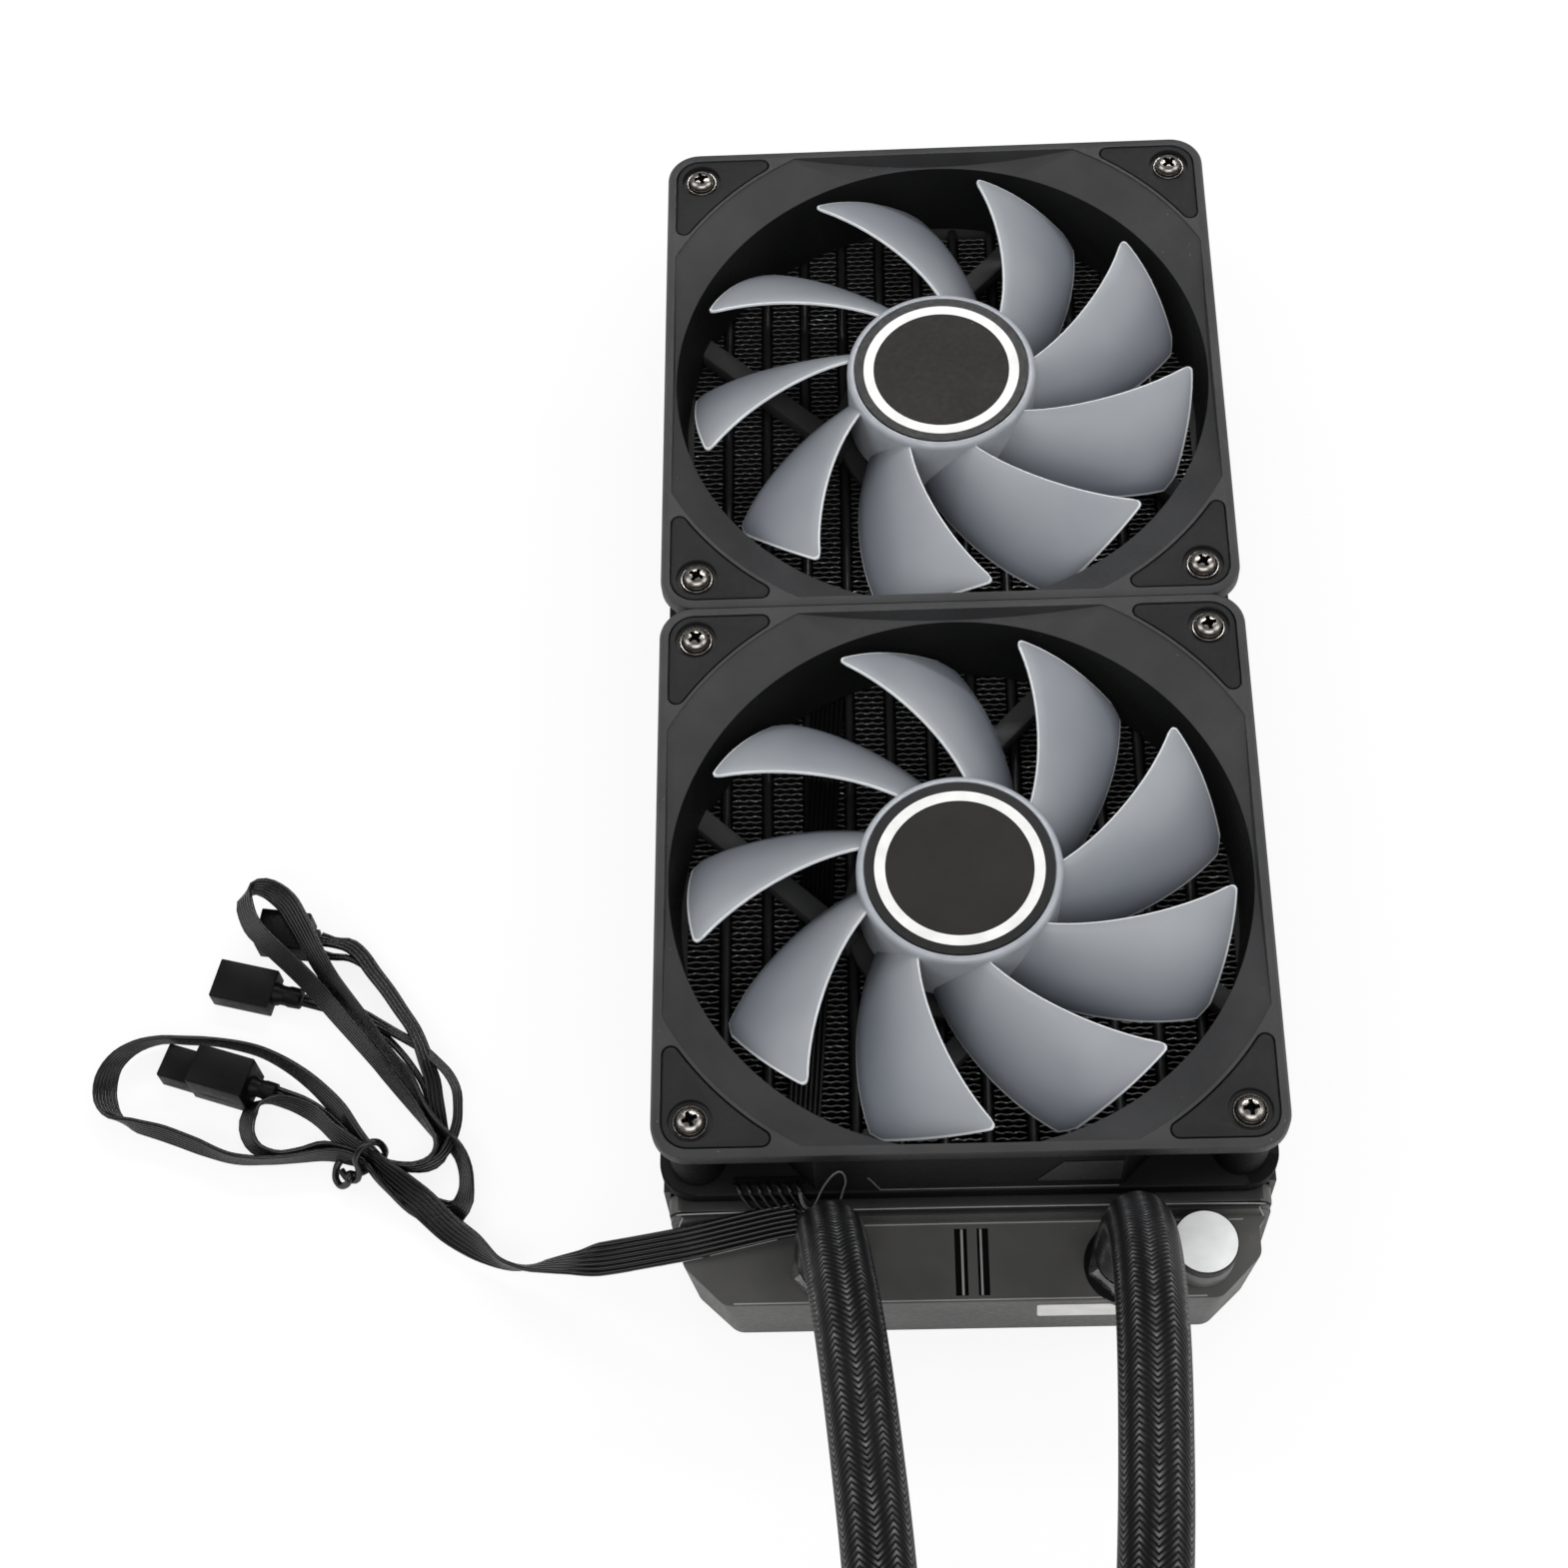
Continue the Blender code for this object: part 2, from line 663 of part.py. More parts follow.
def ferrule_shape():
    """Crimped sleeve over the hose end, open at the fitting's side."""
    length = FERRULE_LENGTH
    inner = BARB_R + HOLE_GAP
    return turned([
        (inner, 0.0), (FERRULE_R, 0.0), (FERRULE_R, 3.0), (FERRULE_R - 0.5, 4.0), (FERRULE_R - 0.5, 5.0),
        (FERRULE_R, 6.0), (FERRULE_R, length - 1.0), (FERRULE_R - 0.8, length), (inner, length),
    ], SMALL_FACET_COUNT)


def fill_cap_shape():
    """Screwed cap of the filling port with a groove below its top disc."""
    bottom = TANK_HEIGHT + SEAT_GAP
    top = bottom + FILL_CAP_HEIGHT
    stub = NUT_BOTTOM - PORT_STUB_DEPTH
    return turned([
        (0.0, stub), (FILL_STUB_R, stub), (FILL_STUB_R, bottom), (FILL_CAP_R, bottom),
        (FILL_CAP_R, top - 3.4), (FILL_CAP_R - 0.7, top - 2.9), (FILL_CAP_R - 0.7, top - 2.3),
        (FILL_CAP_R, top - 1.8), (FILL_CAP_R, top - 0.3), (FILL_CAP_R - 0.3, top), (0.0, top),
    ], SMALL_FACET_COUNT)


# Fans

def pad_outline(grow=0.0):
    """Outline of the pad in the +X +Y corner: two straight sides and an arc about the fan's axis."""
    edge = FAN_HALF - PAD_EDGE_INSET + grow
    arc_r = PAD_ARC_R - grow
    end_r = PAD_END_R + grow
    corner_r = PAD_CORNER_R + grow
    reach = math.sqrt((arc_r + end_r) ** 2 - (edge - end_r) ** 2)
    end_deg = math.degrees(math.atan2(reach, edge - end_r))
    low_centre = (edge - end_r, reach)
    high_centre = (reach, edge - end_r)
    outline = arc(low_centre, end_r, end_deg - 180, 0, 2)
    outline += arc((edge - corner_r, edge - corner_r), corner_r, 0, 90, 2)
    outline += arc(high_centre, end_r, 90, 270 - end_deg, 2)
    outline += arc((0.0, 0.0), arc_r, 90 - end_deg, end_deg, 3)[1:-1]
    return outline


def bell_profile():
    """Half section of the air way: a duct that widens a little, then a flat cone out to the inlet."""
    profile = [(0.0, -1.0), (DUCT_R, -1.0), (DUCT_R, FAN_FLANGE)]
    profile.append((DUCT_R + DUCT_FLARE, FAN_DEPTH - BELL_DEPTH))
    profile += [(BELL_R, FAN_DEPTH), (BELL_R, FAN_DEPTH + 1.0), (0.0, FAN_DEPTH + 1.0)]
    return profile


def duct_outline():
    """Outer wall of the duct, an octagon."""
    far = FAN_HALF - DUCT_FLAT_INSET
    near = far * DUCT_FLAT_SHARE
    return [(far, -near), (far, near), (near, far), (-near, far),
            (-far, near), (-far, -near), (-near, -far), (near, -far)]


def frame_shape():
    """Moulded fan frame: two flanges, duct wall, corner posts, struts and motor base."""
    half = FAN_HALF
    square = rounded_rectangle(half, half, FAN_CORNER_R, 3)
    lower = prism(square, 0.0, FAN_FLANGE)
    upper = prism(square, FAN_DEPTH - FAN_FLANGE, FAN_DEPTH)
    duct = prism(duct_outline(), FAN_FLANGE / 2, FAN_DEPTH - FAN_FLANGE / 2)
    posts = []
    webs = []
    mid = (FAN_FLANGE / 2, FAN_DEPTH - FAN_FLANGE / 2)
    for quarter in range(4):
        turn = 90 * quarter
        post = moved(rod(CORNER_POST_R, *mid, SMALL_FACET_COUNT), (SCREW_OFFSET, SCREW_OFFSET, 0.0))
        posts.append(moved(post, turn_deg=turn))
        web = box((DUCT_R + 1.0, -POST_WEB / 2, mid[0]), (SCREW_OFFSET * math.sqrt(2), POST_WEB / 2, mid[1]))
        webs.append(moved(web, turn_deg=turn + 45))
    body = combine(lower, [upper, duct, merge(posts), merge(webs)], "UNION")
    rim = prism(rounded_rectangle(half - BELL_RIM, half - BELL_RIM, FAN_CORNER_R - BELL_RIM, 1),
                -2.0, FAN_DEPTH + 2.0)
    air = combine(turned(bell_profile(), LARGE_FACET_COUNT), [rim], "INTERSECT")
    recess = []
    for quarter in range(4):
        pocket = prism(pad_outline(PAD_GROOVE), PAD_FLOOR, FAN_DEPTH + 1.0)
        recess.append(moved(pocket, turn_deg=90 * quarter))
    body = combine(body, [air, merge(recess)], "DIFFERENCE")
    body = combine(body, [spider_shape()], "UNION")
    holes = []
    for quarter in range(4):
        hole = rod(FAN_HOLE_R, -1.0, FAN_DEPTH + 1.0, TINY_FACET_COUNT)
        hole = moved(hole, (SCREW_OFFSET, SCREW_OFFSET, 0.0))
        holes.append(moved(hole, turn_deg=90 * quarter))
    socket = rod(BEARING_R + SEAT_GAP, MOTOR_BASE_HEIGHT / 2, BEARING_TUBE_TOP + 1.0, SMALL_FACET_COUNT)
    return combine(body, [merge(holes), socket], "DIFFERENCE")


def spider_shape():
    """Motor base with its bearing tube and the four slanted struts that carry it."""
    base = turned([
        (0.0, 0.0), (MOTOR_BASE_R, 0.0), (MOTOR_BASE_R, MOTOR_BASE_HEIGHT),
        (BEARING_TUBE_R, MOTOR_BASE_HEIGHT), (BEARING_TUBE_R, BEARING_TUBE_TOP), (0.0, BEARING_TUBE_TOP),
    ], MEDIUM_FACET_COUNT)
    struts = []
    for quarter in range(4):
        outer = Vector(polar(DUCT_R + STRUT_SEAT, STRUT_OUTER_DEG))
        inner = Vector(polar(STRUT_INNER_R, STRUT_INNER_DEG))
        along = inner - outer
        strut = box((0.0, -STRUT_WIDTH / 2, 0.0), (along.length, STRUT_WIDTH / 2, STRUT_HEIGHT))
        strut = moved(strut, (*outer, 0.0), math.degrees(math.atan2(along.y, along.x)))
        struts.append(moved(strut, turn_deg=90 * quarter))
    return combine(base, [merge(struts)], "UNION")


def blade_edge(share):
    """Angle and height of a blade's leading and trailing edges at a share of its span."""
    lead_deg = -32.2 + 51.0 * share - 31.2 * share ** 2 + 12.4 * share ** 3
    trail_deg = -63.2 + 59.5 * share - 37.7 * share ** 2 + 15.6 * share ** 3
    lead_z = 21.3 + 2.2 * share - 2.2 * share ** 2
    trail_z = 7.4 + 0.6 * share
    return lead_deg, trail_deg, lead_z, trail_z


def blade_shape():
    """One swept and cambered blade, rooted inside the hub wall."""
    shape = bmesh.new()
    root_r = HUB_R - HUB_WALL / 2
    layers = []
    for side in (1, -1):
        grid = []
        for row in range(BLADE_ROWS + 1):
            share = row / BLADE_ROWS
            lead_deg, trail_deg, lead_z, trail_z = blade_edge(share)
            radius = root_r + (BLADE_TIP_R - root_r) * share
            line = []
            for column in range(BLADE_COLUMNS + 1):
                chord = column / BLADE_COLUMNS
                bulge = 4 * chord * (1 - chord)
                x, y = polar(radius, lead_deg + (trail_deg - lead_deg) * chord)
                z = lead_z + (trail_z - lead_z) * (chord + BLADE_CAMBER * bulge)
                thick = BLADE_THICKNESS * (0.55 + 0.45 * bulge) / 2
                line.append(shape.verts.new((x, y, z + side * thick * 1.25)))
            grid.append(line)
        layers.append(grid)
    for grid in layers:
        for row in range(BLADE_ROWS):
            for column in range(BLADE_COLUMNS):
                shape.faces.new((grid[row][column], grid[row + 1][column],
                                 grid[row + 1][column + 1], grid[row][column + 1]))
    upper, lower = layers
    rim = [(row, 0) for row in range(BLADE_ROWS)]
    rim += [(BLADE_ROWS, column) for column in range(BLADE_COLUMNS)]
    rim += [(BLADE_ROWS - row, BLADE_COLUMNS) for row in range(BLADE_ROWS)]
    rim += [(0, BLADE_COLUMNS - column) for column in range(BLADE_COLUMNS)]
    for i, (row, column) in enumerate(rim):
        next_row, next_column = rim[(i + 1) % len(rim)]
        shape.faces.new((upper[row][column], upper[next_row][next_column],
                         lower[next_row][next_column], lower[row][column]))
    bmesh.ops.recalc_face_normals(shape, faces=shape.faces)
    return shape


def rotor_shape():
    """Hub cup and nine blades moulded in one piece."""
    disc_floor = HUB_TOP - HUB_DISC_THICKNESS
    disc_r = HUB_DISC_R + PAD_GROOVE
    bore = SHAFT_R + SEAT_GAP
    inner = HUB_R - HUB_WALL
    roof = HUB_TOP - HUB_ROOF - HUB_DISC_THICKNESS
    hub = turned([
        (inner, HUB_BOTTOM), (HUB_R, HUB_BOTTOM), (HUB_R, HUB_TOP - 1.2), (HUB_R - 0.5, HUB_TOP),
        (disc_r, HUB_TOP), (disc_r, disc_floor - SEAT_GAP), (0.0, disc_floor - SEAT_GAP),
        (0.0, roof + 0.4), (bore, roof + 0.4), (bore, HUB_BOSS_BOTTOM), (HUB_BOSS_R, HUB_BOSS_BOTTOM),
        (HUB_BOSS_R, roof), (inner, roof),
    ], MEDIUM_FACET_COUNT)
    blades = [moved(blade_shape(), turn_deg=360 * i / BLADE_COUNT) for i in range(BLADE_COUNT)]
    return combine(hub, [merge(blades)], "UNION")


def stator_shape():
    """Wound core of the fan motor: four teeth with wide shoes around the bearing tube."""
    outline = []
    half = STATOR_TOOTH_WIDTH / 2
    root = BEARING_TUBE_R + 2.2
    for tooth in range(4):
        points = [(root, -half), (STATOR_R - STATOR_SHOE, -half)]
        points += arc((0.0, 0.0), STATOR_R, -34, 34, 2)
        points += [(STATOR_R - STATOR_SHOE, half), (root, half)]
        turn = math.radians(90 * tooth)
        turned_points = Matrix.Rotation(turn, 2)
        outline += [tuple(turned_points @ Vector(point)) for point in points]
    bore_r = BEARING_TUBE_R + SEAT_GAP
    bore = arc((0.0, 0.0), bore_r, 0, 360 - 360 / SMALL_FACET_COUNT, SMALL_FACET_COUNT - 1)
    return ring_prism(outline, bore, STATOR_BOTTOM, STATOR_BOTTOM + STATOR_HEIGHT)


def screw_shape():
    """Pan head screw with its washer, the underside of the washer at height zero."""
    washer = SCREW_WASHER_HEIGHT
    head = washer + SCREW_HEAD_HEIGHT
    return turned([
        (0.0, -SCREW_LENGTH), (SCREW_SHANK_R, -SCREW_LENGTH), (SCREW_SHANK_R, 0.0), (SCREW_WASHER_R, 0.0),
        (SCREW_WASHER_R, washer), (SCREW_HEAD_R, washer), (SCREW_HEAD_R * 0.8, head), (0.0, head),
    ], TINY_FACET_COUNT)


# Pump head

def pump_housing_shape():
    """Pump body: square foot, round barrel, impeller chamber, can and stator pocket."""
    foot = prism(rounded_rectangle(PUMP_BASE_HALF, PUMP_BASE_HALF, PUMP_BASE_CORNER, 4),
                 HOUSING_BOTTOM, HOUSING_BOTTOM + PUMP_BASE_HEIGHT)
    barrel = rod(PUMP_R, HOUSING_BOTTOM + PUMP_BASE_HEIGHT - 1.0, PUMP_HOUSING_TOP, MEDIUM_FACET_COUNT + 2)
    body = combine(foot, [barrel], "UNION")
    chamber_top = HOUSING_BOTTOM + PUMP_CHAMBER_HEIGHT
    socket_top = PUMP_CAN_TOP + 2.0
    chamber = turned([
        (0.0, HOUSING_BOTTOM - 1.0), (PUMP_CHAMBER_R, HOUSING_BOTTOM - 1.0), (PUMP_CHAMBER_R, chamber_top),
        (PUMP_CAN_R, chamber_top), (PUMP_CAN_R, PUMP_CAN_TOP), (PUMP_SHAFT_R + SEAT_GAP, PUMP_CAN_TOP),
        (PUMP_SHAFT_R + SEAT_GAP, socket_top), (0.0, socket_top),
    ], MEDIUM_FACET_COUNT)
    pocket = tube(PUMP_STATOR_R + SEAT_GAP, PUMP_CAN_R + PUMP_CAN_WALL, chamber_top + 2.0,
                  PUMP_HOUSING_TOP + 1.0, MEDIUM_FACET_COUNT)
    seat_y = PUMP_R - PUMP_FLAT_DEPTH
    socket_depth = PORT_STUB_DEPTH + SEAT_GAP
    sockets = []
    for sign in (-1, 1):
        socket = rod(PORT_STUB_R + HOLE_GAP, -1.0, socket_depth, SMALL_FACET_COUNT)
        socket = moved(socket, turn_deg=90, axis="X")
        sockets.append(moved(socket, (sign * PUMP_FITTING_X, seat_y, PUMP_FITTING_Z)))
    flat_half = PUMP_FITTING_X + PUMP_FLAT_SIDE
    flats = [box((-flat_half, seat_y, PUMP_FITTING_Z - PUMP_FLAT_BELOW),
                 (flat_half, PUMP_R + 1.0, PUMP_HOUSING_TOP + 1.0))]
    return combine(body, [chamber, pocket, merge(flats), merge(sockets)], "DIFFERENCE")


def pump_fitting_shape():
    """Side fitting of the pump: stub, hexagonal nut and crimped sleeve, lying along +Y from its seat."""
    nut_end = PUMP_FLAT_DEPTH + PUMP_FITTING_REACH
    end = nut_end + FERRULE_LENGTH
    nut = prism(arc((0.0, 0.0), PORT_NUT_FLATS / math.sqrt(3), 0, 300, 5), SEAT_GAP, nut_end)
    stem = turned([
        (0.0, -PORT_STUB_DEPTH), (PORT_STUB_R, -PORT_STUB_DEPTH), (PORT_STUB_R, nut_end - 1.0),
        (FERRULE_R, nut_end - 1.0), (FERRULE_R, end - 7.0), (FERRULE_R - 0.5, end - 6.0),
        (FERRULE_R - 0.5, end - 5.0), (FERRULE_R, end - 4.0), (FERRULE_R, end - 1.0),
        (FERRULE_R - 0.8, end), (0.0, end),
    ], SMALL_FACET_COUNT)
    return moved(combine(nut, [stem], "UNION"), turn_deg=-90, axis="X")


def pump_cover_shape():
    """Plain cap over the pump's stator, a shell with a rounded upper edge."""
    top = PUMP_COVER_HEIGHT
    wall = PUMP_COVER_WALL
    inner = PUMP_R - wall
    profile = [(0.0, top - wall), (inner - PUMP_COVER_EDGE, top - wall), (inner, top - wall - 1.5),
               (inner, 0.0), (PUMP_R, 0.0)]
    profile += [(PUMP_R - PUMP_COVER_EDGE + x, top - PUMP_COVER_EDGE + z)
                for x, z in arc((0.0, 0.0), PUMP_COVER_EDGE, 0, 90, 2)]
    profile.append((0.0, top))
    return turned(profile, MEDIUM_FACET_COUNT + 2)


def impeller_shape():
    """Pump impeller: magnet core, back plate and six curved vanes under it, bored for the shaft."""
    bore = PUMP_SHAFT_R + BEARING_GAP
    plate_bottom = HOUSING_BOTTOM + 1.0 + IMPELLER_VANE_HEIGHT
    plate_top = plate_bottom + IMPELLER_PLATE
    core_r = PUMP_CAN_R - 1.0
    vane_bottom = plate_bottom - IMPELLER_VANE_HEIGHT
    body = turned([
        (bore, vane_bottom), (3.0, vane_bottom), (3.0, plate_bottom), (IMPELLER_R, plate_bottom),
        (IMPELLER_R, plate_top), (core_r, plate_top), (core_r, PUMP_CAN_TOP - 1.0),
        (bore, PUMP_CAN_TOP - 1.0),
    ], SMALL_FACET_COUNT)
    vanes = []
    for number in range(IMPELLER_VANES):
        inner = arc((0.0, IMPELLER_R / 2), IMPELLER_R / 2 + 0.5, -60, 20, 2)
        outer = arc((0.0, IMPELLER_R / 2), IMPELLER_R / 2 - 0.5, 20, -60, 2)
        vane = prism([(x, y) for x, y in inner + outer], vane_bottom, plate_bottom + 0.5)
        vanes.append(moved(vane, turn_deg=360 * number / IMPELLER_VANES))
    return combine(body, [merge(vanes)], "UNION")


# Leads

def link_ribbon_shape():
    """Flat lead of the far fan, laid along the core below the near fan."""
    half = LINK_WIRES * WIRE_PITCH / 2
    low = RADIATOR_DEPTH - CORE_INSET + SEAT_GAP
    high = low + WIRE_PITCH * 0.9
    outline = rounded_rectangle(half, (high - low) / 2, (high - low) * 0.45, 2)
    ribbon = prism(outline, 4.0, CORE_HALF)
    ribbon = moved(ribbon, turn_deg=90, axis="X")
    return moved(ribbon, (LINK_X, 0.0, (low + high) / 2), turn_deg=-LINK_TURN)


def connector_shape(length, width, height, boot_r, boot_length):
    """Lead connector: chamfered block with a round boot at its +X end, or none."""
    block = box((-length / 2, -width / 2, 0.0), (length / 2, width / 2, height))
    block = soften_edges(block, 0.5, lambda edge: True)
    if boot_length == 0.0:
        return block
    boot = moved(rod(boot_r, 0.0, boot_length + 1.0, TINY_FACET_COUNT), turn_deg=90, axis="Y")
    boot = moved(boot, (length / 2 - 1.0, 0.0, height / 2))
    return combine(block, [boot], "UNION")


def tie_shape():
    """Wire tie closed round the folded leads, a square loop with round corners."""
    ring = bmesh.new()
    loops = []
    middle = Vector((0.0, 0.0, TIE_HEIGHT))
    for x, z in rounded_rectangle(TIE_HALF_WIDTH, TIE_HALF_HEIGHT, 2.0, 2):
        place = middle + Vector((x, 0.0, z))
        outward = (place - middle).normalized()
        loop = []
        for side in range(6):
            radial, along = polar(TIE_WIRE_R, 60 * side)
            loop.append(ring.verts.new(place + outward * radial + Vector((0.0, along, 0.0))))
        loops.append(loop)
    for i, loop in enumerate(loops):
        before = loops[i - 1]
        for side in range(6):
            ring.faces.new((before[side - 1], before[side], loop[side], loop[side - 1]))
    return ring


# Routes of the free cords, chosen by hand. Each knot of a hose is a share of the way from its tank
# sleeve to its pump sleeve, then how far it stands aside from and above the straight line

HOSE_ARCHES = {
    "left": [
        (-0.0, 0.0, 0.0), (-0.0, 0.0, 3.8), (0.0183, 0.2, 19.2), (0.0533, 0.8, 31.8),
        (0.1049, 2.0, 40.8), (0.1682, 3.1, 44.0), (0.2348, 4.0, 44.3), (0.3414, 4.7, 40.4),
        (0.458, 5.1, 30.6), (0.5746, 5.0, 18.8), (0.6912, 4.0, 8.1), (0.8078, 2.7, 1.3),
        (0.9077, 1.3, -1.0), (1.0, 0.0, 0.0),
    ],
    "right": [
        (-0.0, 0.0, 0.0), (-0.0, 0.0, 3.8), (0.0167, 0.1, 21.1), (0.0516, 0.3, 36.8),
        (0.1049, 0.5, 48.3), (0.1682, 0.5, 53.5), (0.2348, 0.2, 54.8), (0.3414, -0.7, 50.4),
        (0.458, -1.7, 38.6), (0.5746, -2.7, 23.8), (0.6912, -3.2, 10.6), (0.8078, -2.9, 1.8),
        (0.9077, -1.6, -1.0), (1.0, 0.0, 0.0),
    ],
}

# Knots of the leads, from the core's near left corner on the table. The fan's lead runs out over the
# tank, through the tie, round the low loop and back, under itself to the right, up and round the high
# loop, and back through the tie to the small loop
FAN_LEAD_ROUTE = [
    (25.5, 1.3, 28.6), (19.5, -1.7, 27.4), (11.5, -4.5, 26.0), (2.5, -6.0, 23.6), (-7.5, -6.0, 16.5),
    (-16.5, -5.1, 10.0), (-25.5, -4.0, 6.2), (-35.5, -0.2, 4.6), (-45.5, 7.8, 4.0), (-55.5, 16.3, 3.8),
    (-65.5, 24.3, 3.8), (-74.5, 35.3, 4.4), (-88.5, 45.3, 4.6), (-104.5, 49.8, 4.4),
    (-118.0, 45.3, 4.2), (-122.0, 37.3, 4.0), (-114.5, 30.0, 4.0), (-99.5, 25.2, 4.2),
    (-83.5, 21.2, 4.6), (-65.5, 23.3, 5.3), (-55.0, 18.0, 5.2), (-46.3, 12.2, 1.7), (-42.3, 13.2, 1.2),
    (-42.1, 20.0, 2.0), (-47.0, 27.3, 3.6), (-57.5, 40.8, 4.8), (-69.5, 54.8, 6.5), (-78.0, 67.8, 8.6),
    (-83.0, 78.3, 9.4), (-89.0, 82.2, 9.8), (-93.1, 77.3, 9.6), (-89.5, 67.8, 9.2), (-78.5, 57.3, 9.0),
    (-65.0, 41.3, 7.2), (-51.5, 27.3, 4.4), (-45.1, 19.3, 2.0), (-47.5, 10.3, 1.0), (-56.0, 15.5, 1.6),
    (-65.5, 23.5, 2.4), (-74.5, 24.2, 2.6), (-84.0, 23.8, 2.4), (-90.0, 28.3, 2.2), (-88.0, 33.6, 2.4),
    (-81.5, 33.2, 3.2), (-74.5, 29.8, 6.0), (-67.0, 25.0, 6.6), (-63.0, 21.4, 6.7),
]
POWER_LEAD_ROUTE = [
    (-68.5, 24.6, 8.0), (-63.3, 20.0, 8.1), (-56.5, 17.6, 7.4), (-51.1, 19.8, 6.8), (-48.9, 26.8, 7.8),
    (-50.3, 37.3, 8.4), (-55.0, 47.8, 5.6), (-60.5, 57.3, 3.6), (-66.5, 65.3, 3.4), (-71.5, 70.4, 3.4),
    (-77.3, 72.1, 3.4),
]
LIGHT_LEAD_ROUTE = [
    (-65.9, 27.6, 8.0), (-60.3, 22.2, 8.1), (-53.0, 15.8, 8.6), (-46.3, 19.2, 6.6), (-43.5, 30.3, 5.6),
    (-46.7, 39.6, 4.6), (-53.7, 46.8, 2.4), (-61.5, 52.0, 1.9), (-69.5, 55.2, 2.1), (-80.2, 58.2, 2.6),
]
TAIL_LEAD_ROUTE = [
    (-59.9, 16.8, 9.4), (-63.4, 21.5, 9.4), (-68.9, 26.9, 9.3), (-73.5, 31.2, 8.8), (-78.3, 33.6, 6.6),
    (-83.1, 36.0, 5.0),
]

TIE_PLACE = (-65.5, 23.9, 0.0)
TIE_HEADING = 45.0

# Connectors: name, middle, heading, block length, width and height, boot radius and length
CONNECTORS = (
    ("power_plug", (-85.0, 73.2), -8.0, 11.0, 8.6, 6.8, 1.9, 2.0),
    ("light_plug", (-92.7, 61.4), -14.0, 13.2, 8.8, 5.2, 2.0, 6.0),
    ("light_socket", (-94.9, 39.8), -18.0, 12.6, 8.6, 10.0, 2.0, 5.6),
    ("light_socket_cap", (-104.7, 43.0), -18.0, 7.4, 7.4, 6.0, 0.0, 0.0),
)


def hose_route(port_x, pump_x, arch):
    """Knots of a hose from its sleeve on the tank to its sleeve on the pump head."""
    start = Vector((port_x, PORT_Y, FERRULE_TOP + SEAT_GAP))
    end_y = PUMP_FRONT_Y + PUMP_FITTING_REACH + FERRULE_LENGTH + SEAT_GAP
    end = Vector((pump_x, end_y, PUMP_FITTING_Z))
    return [start.lerp(end, share) + Vector((aside, 0.0, rise)) for share, aside, rise in arch]


def lead_knots(route):
    """Knots of a lead, moved from the core's near left corner to the fans' middle."""
    corner = Vector((-HALF_RADIATOR, -HEADER_END, 0.0))
    return [corner + Vector(knot) for knot in route]


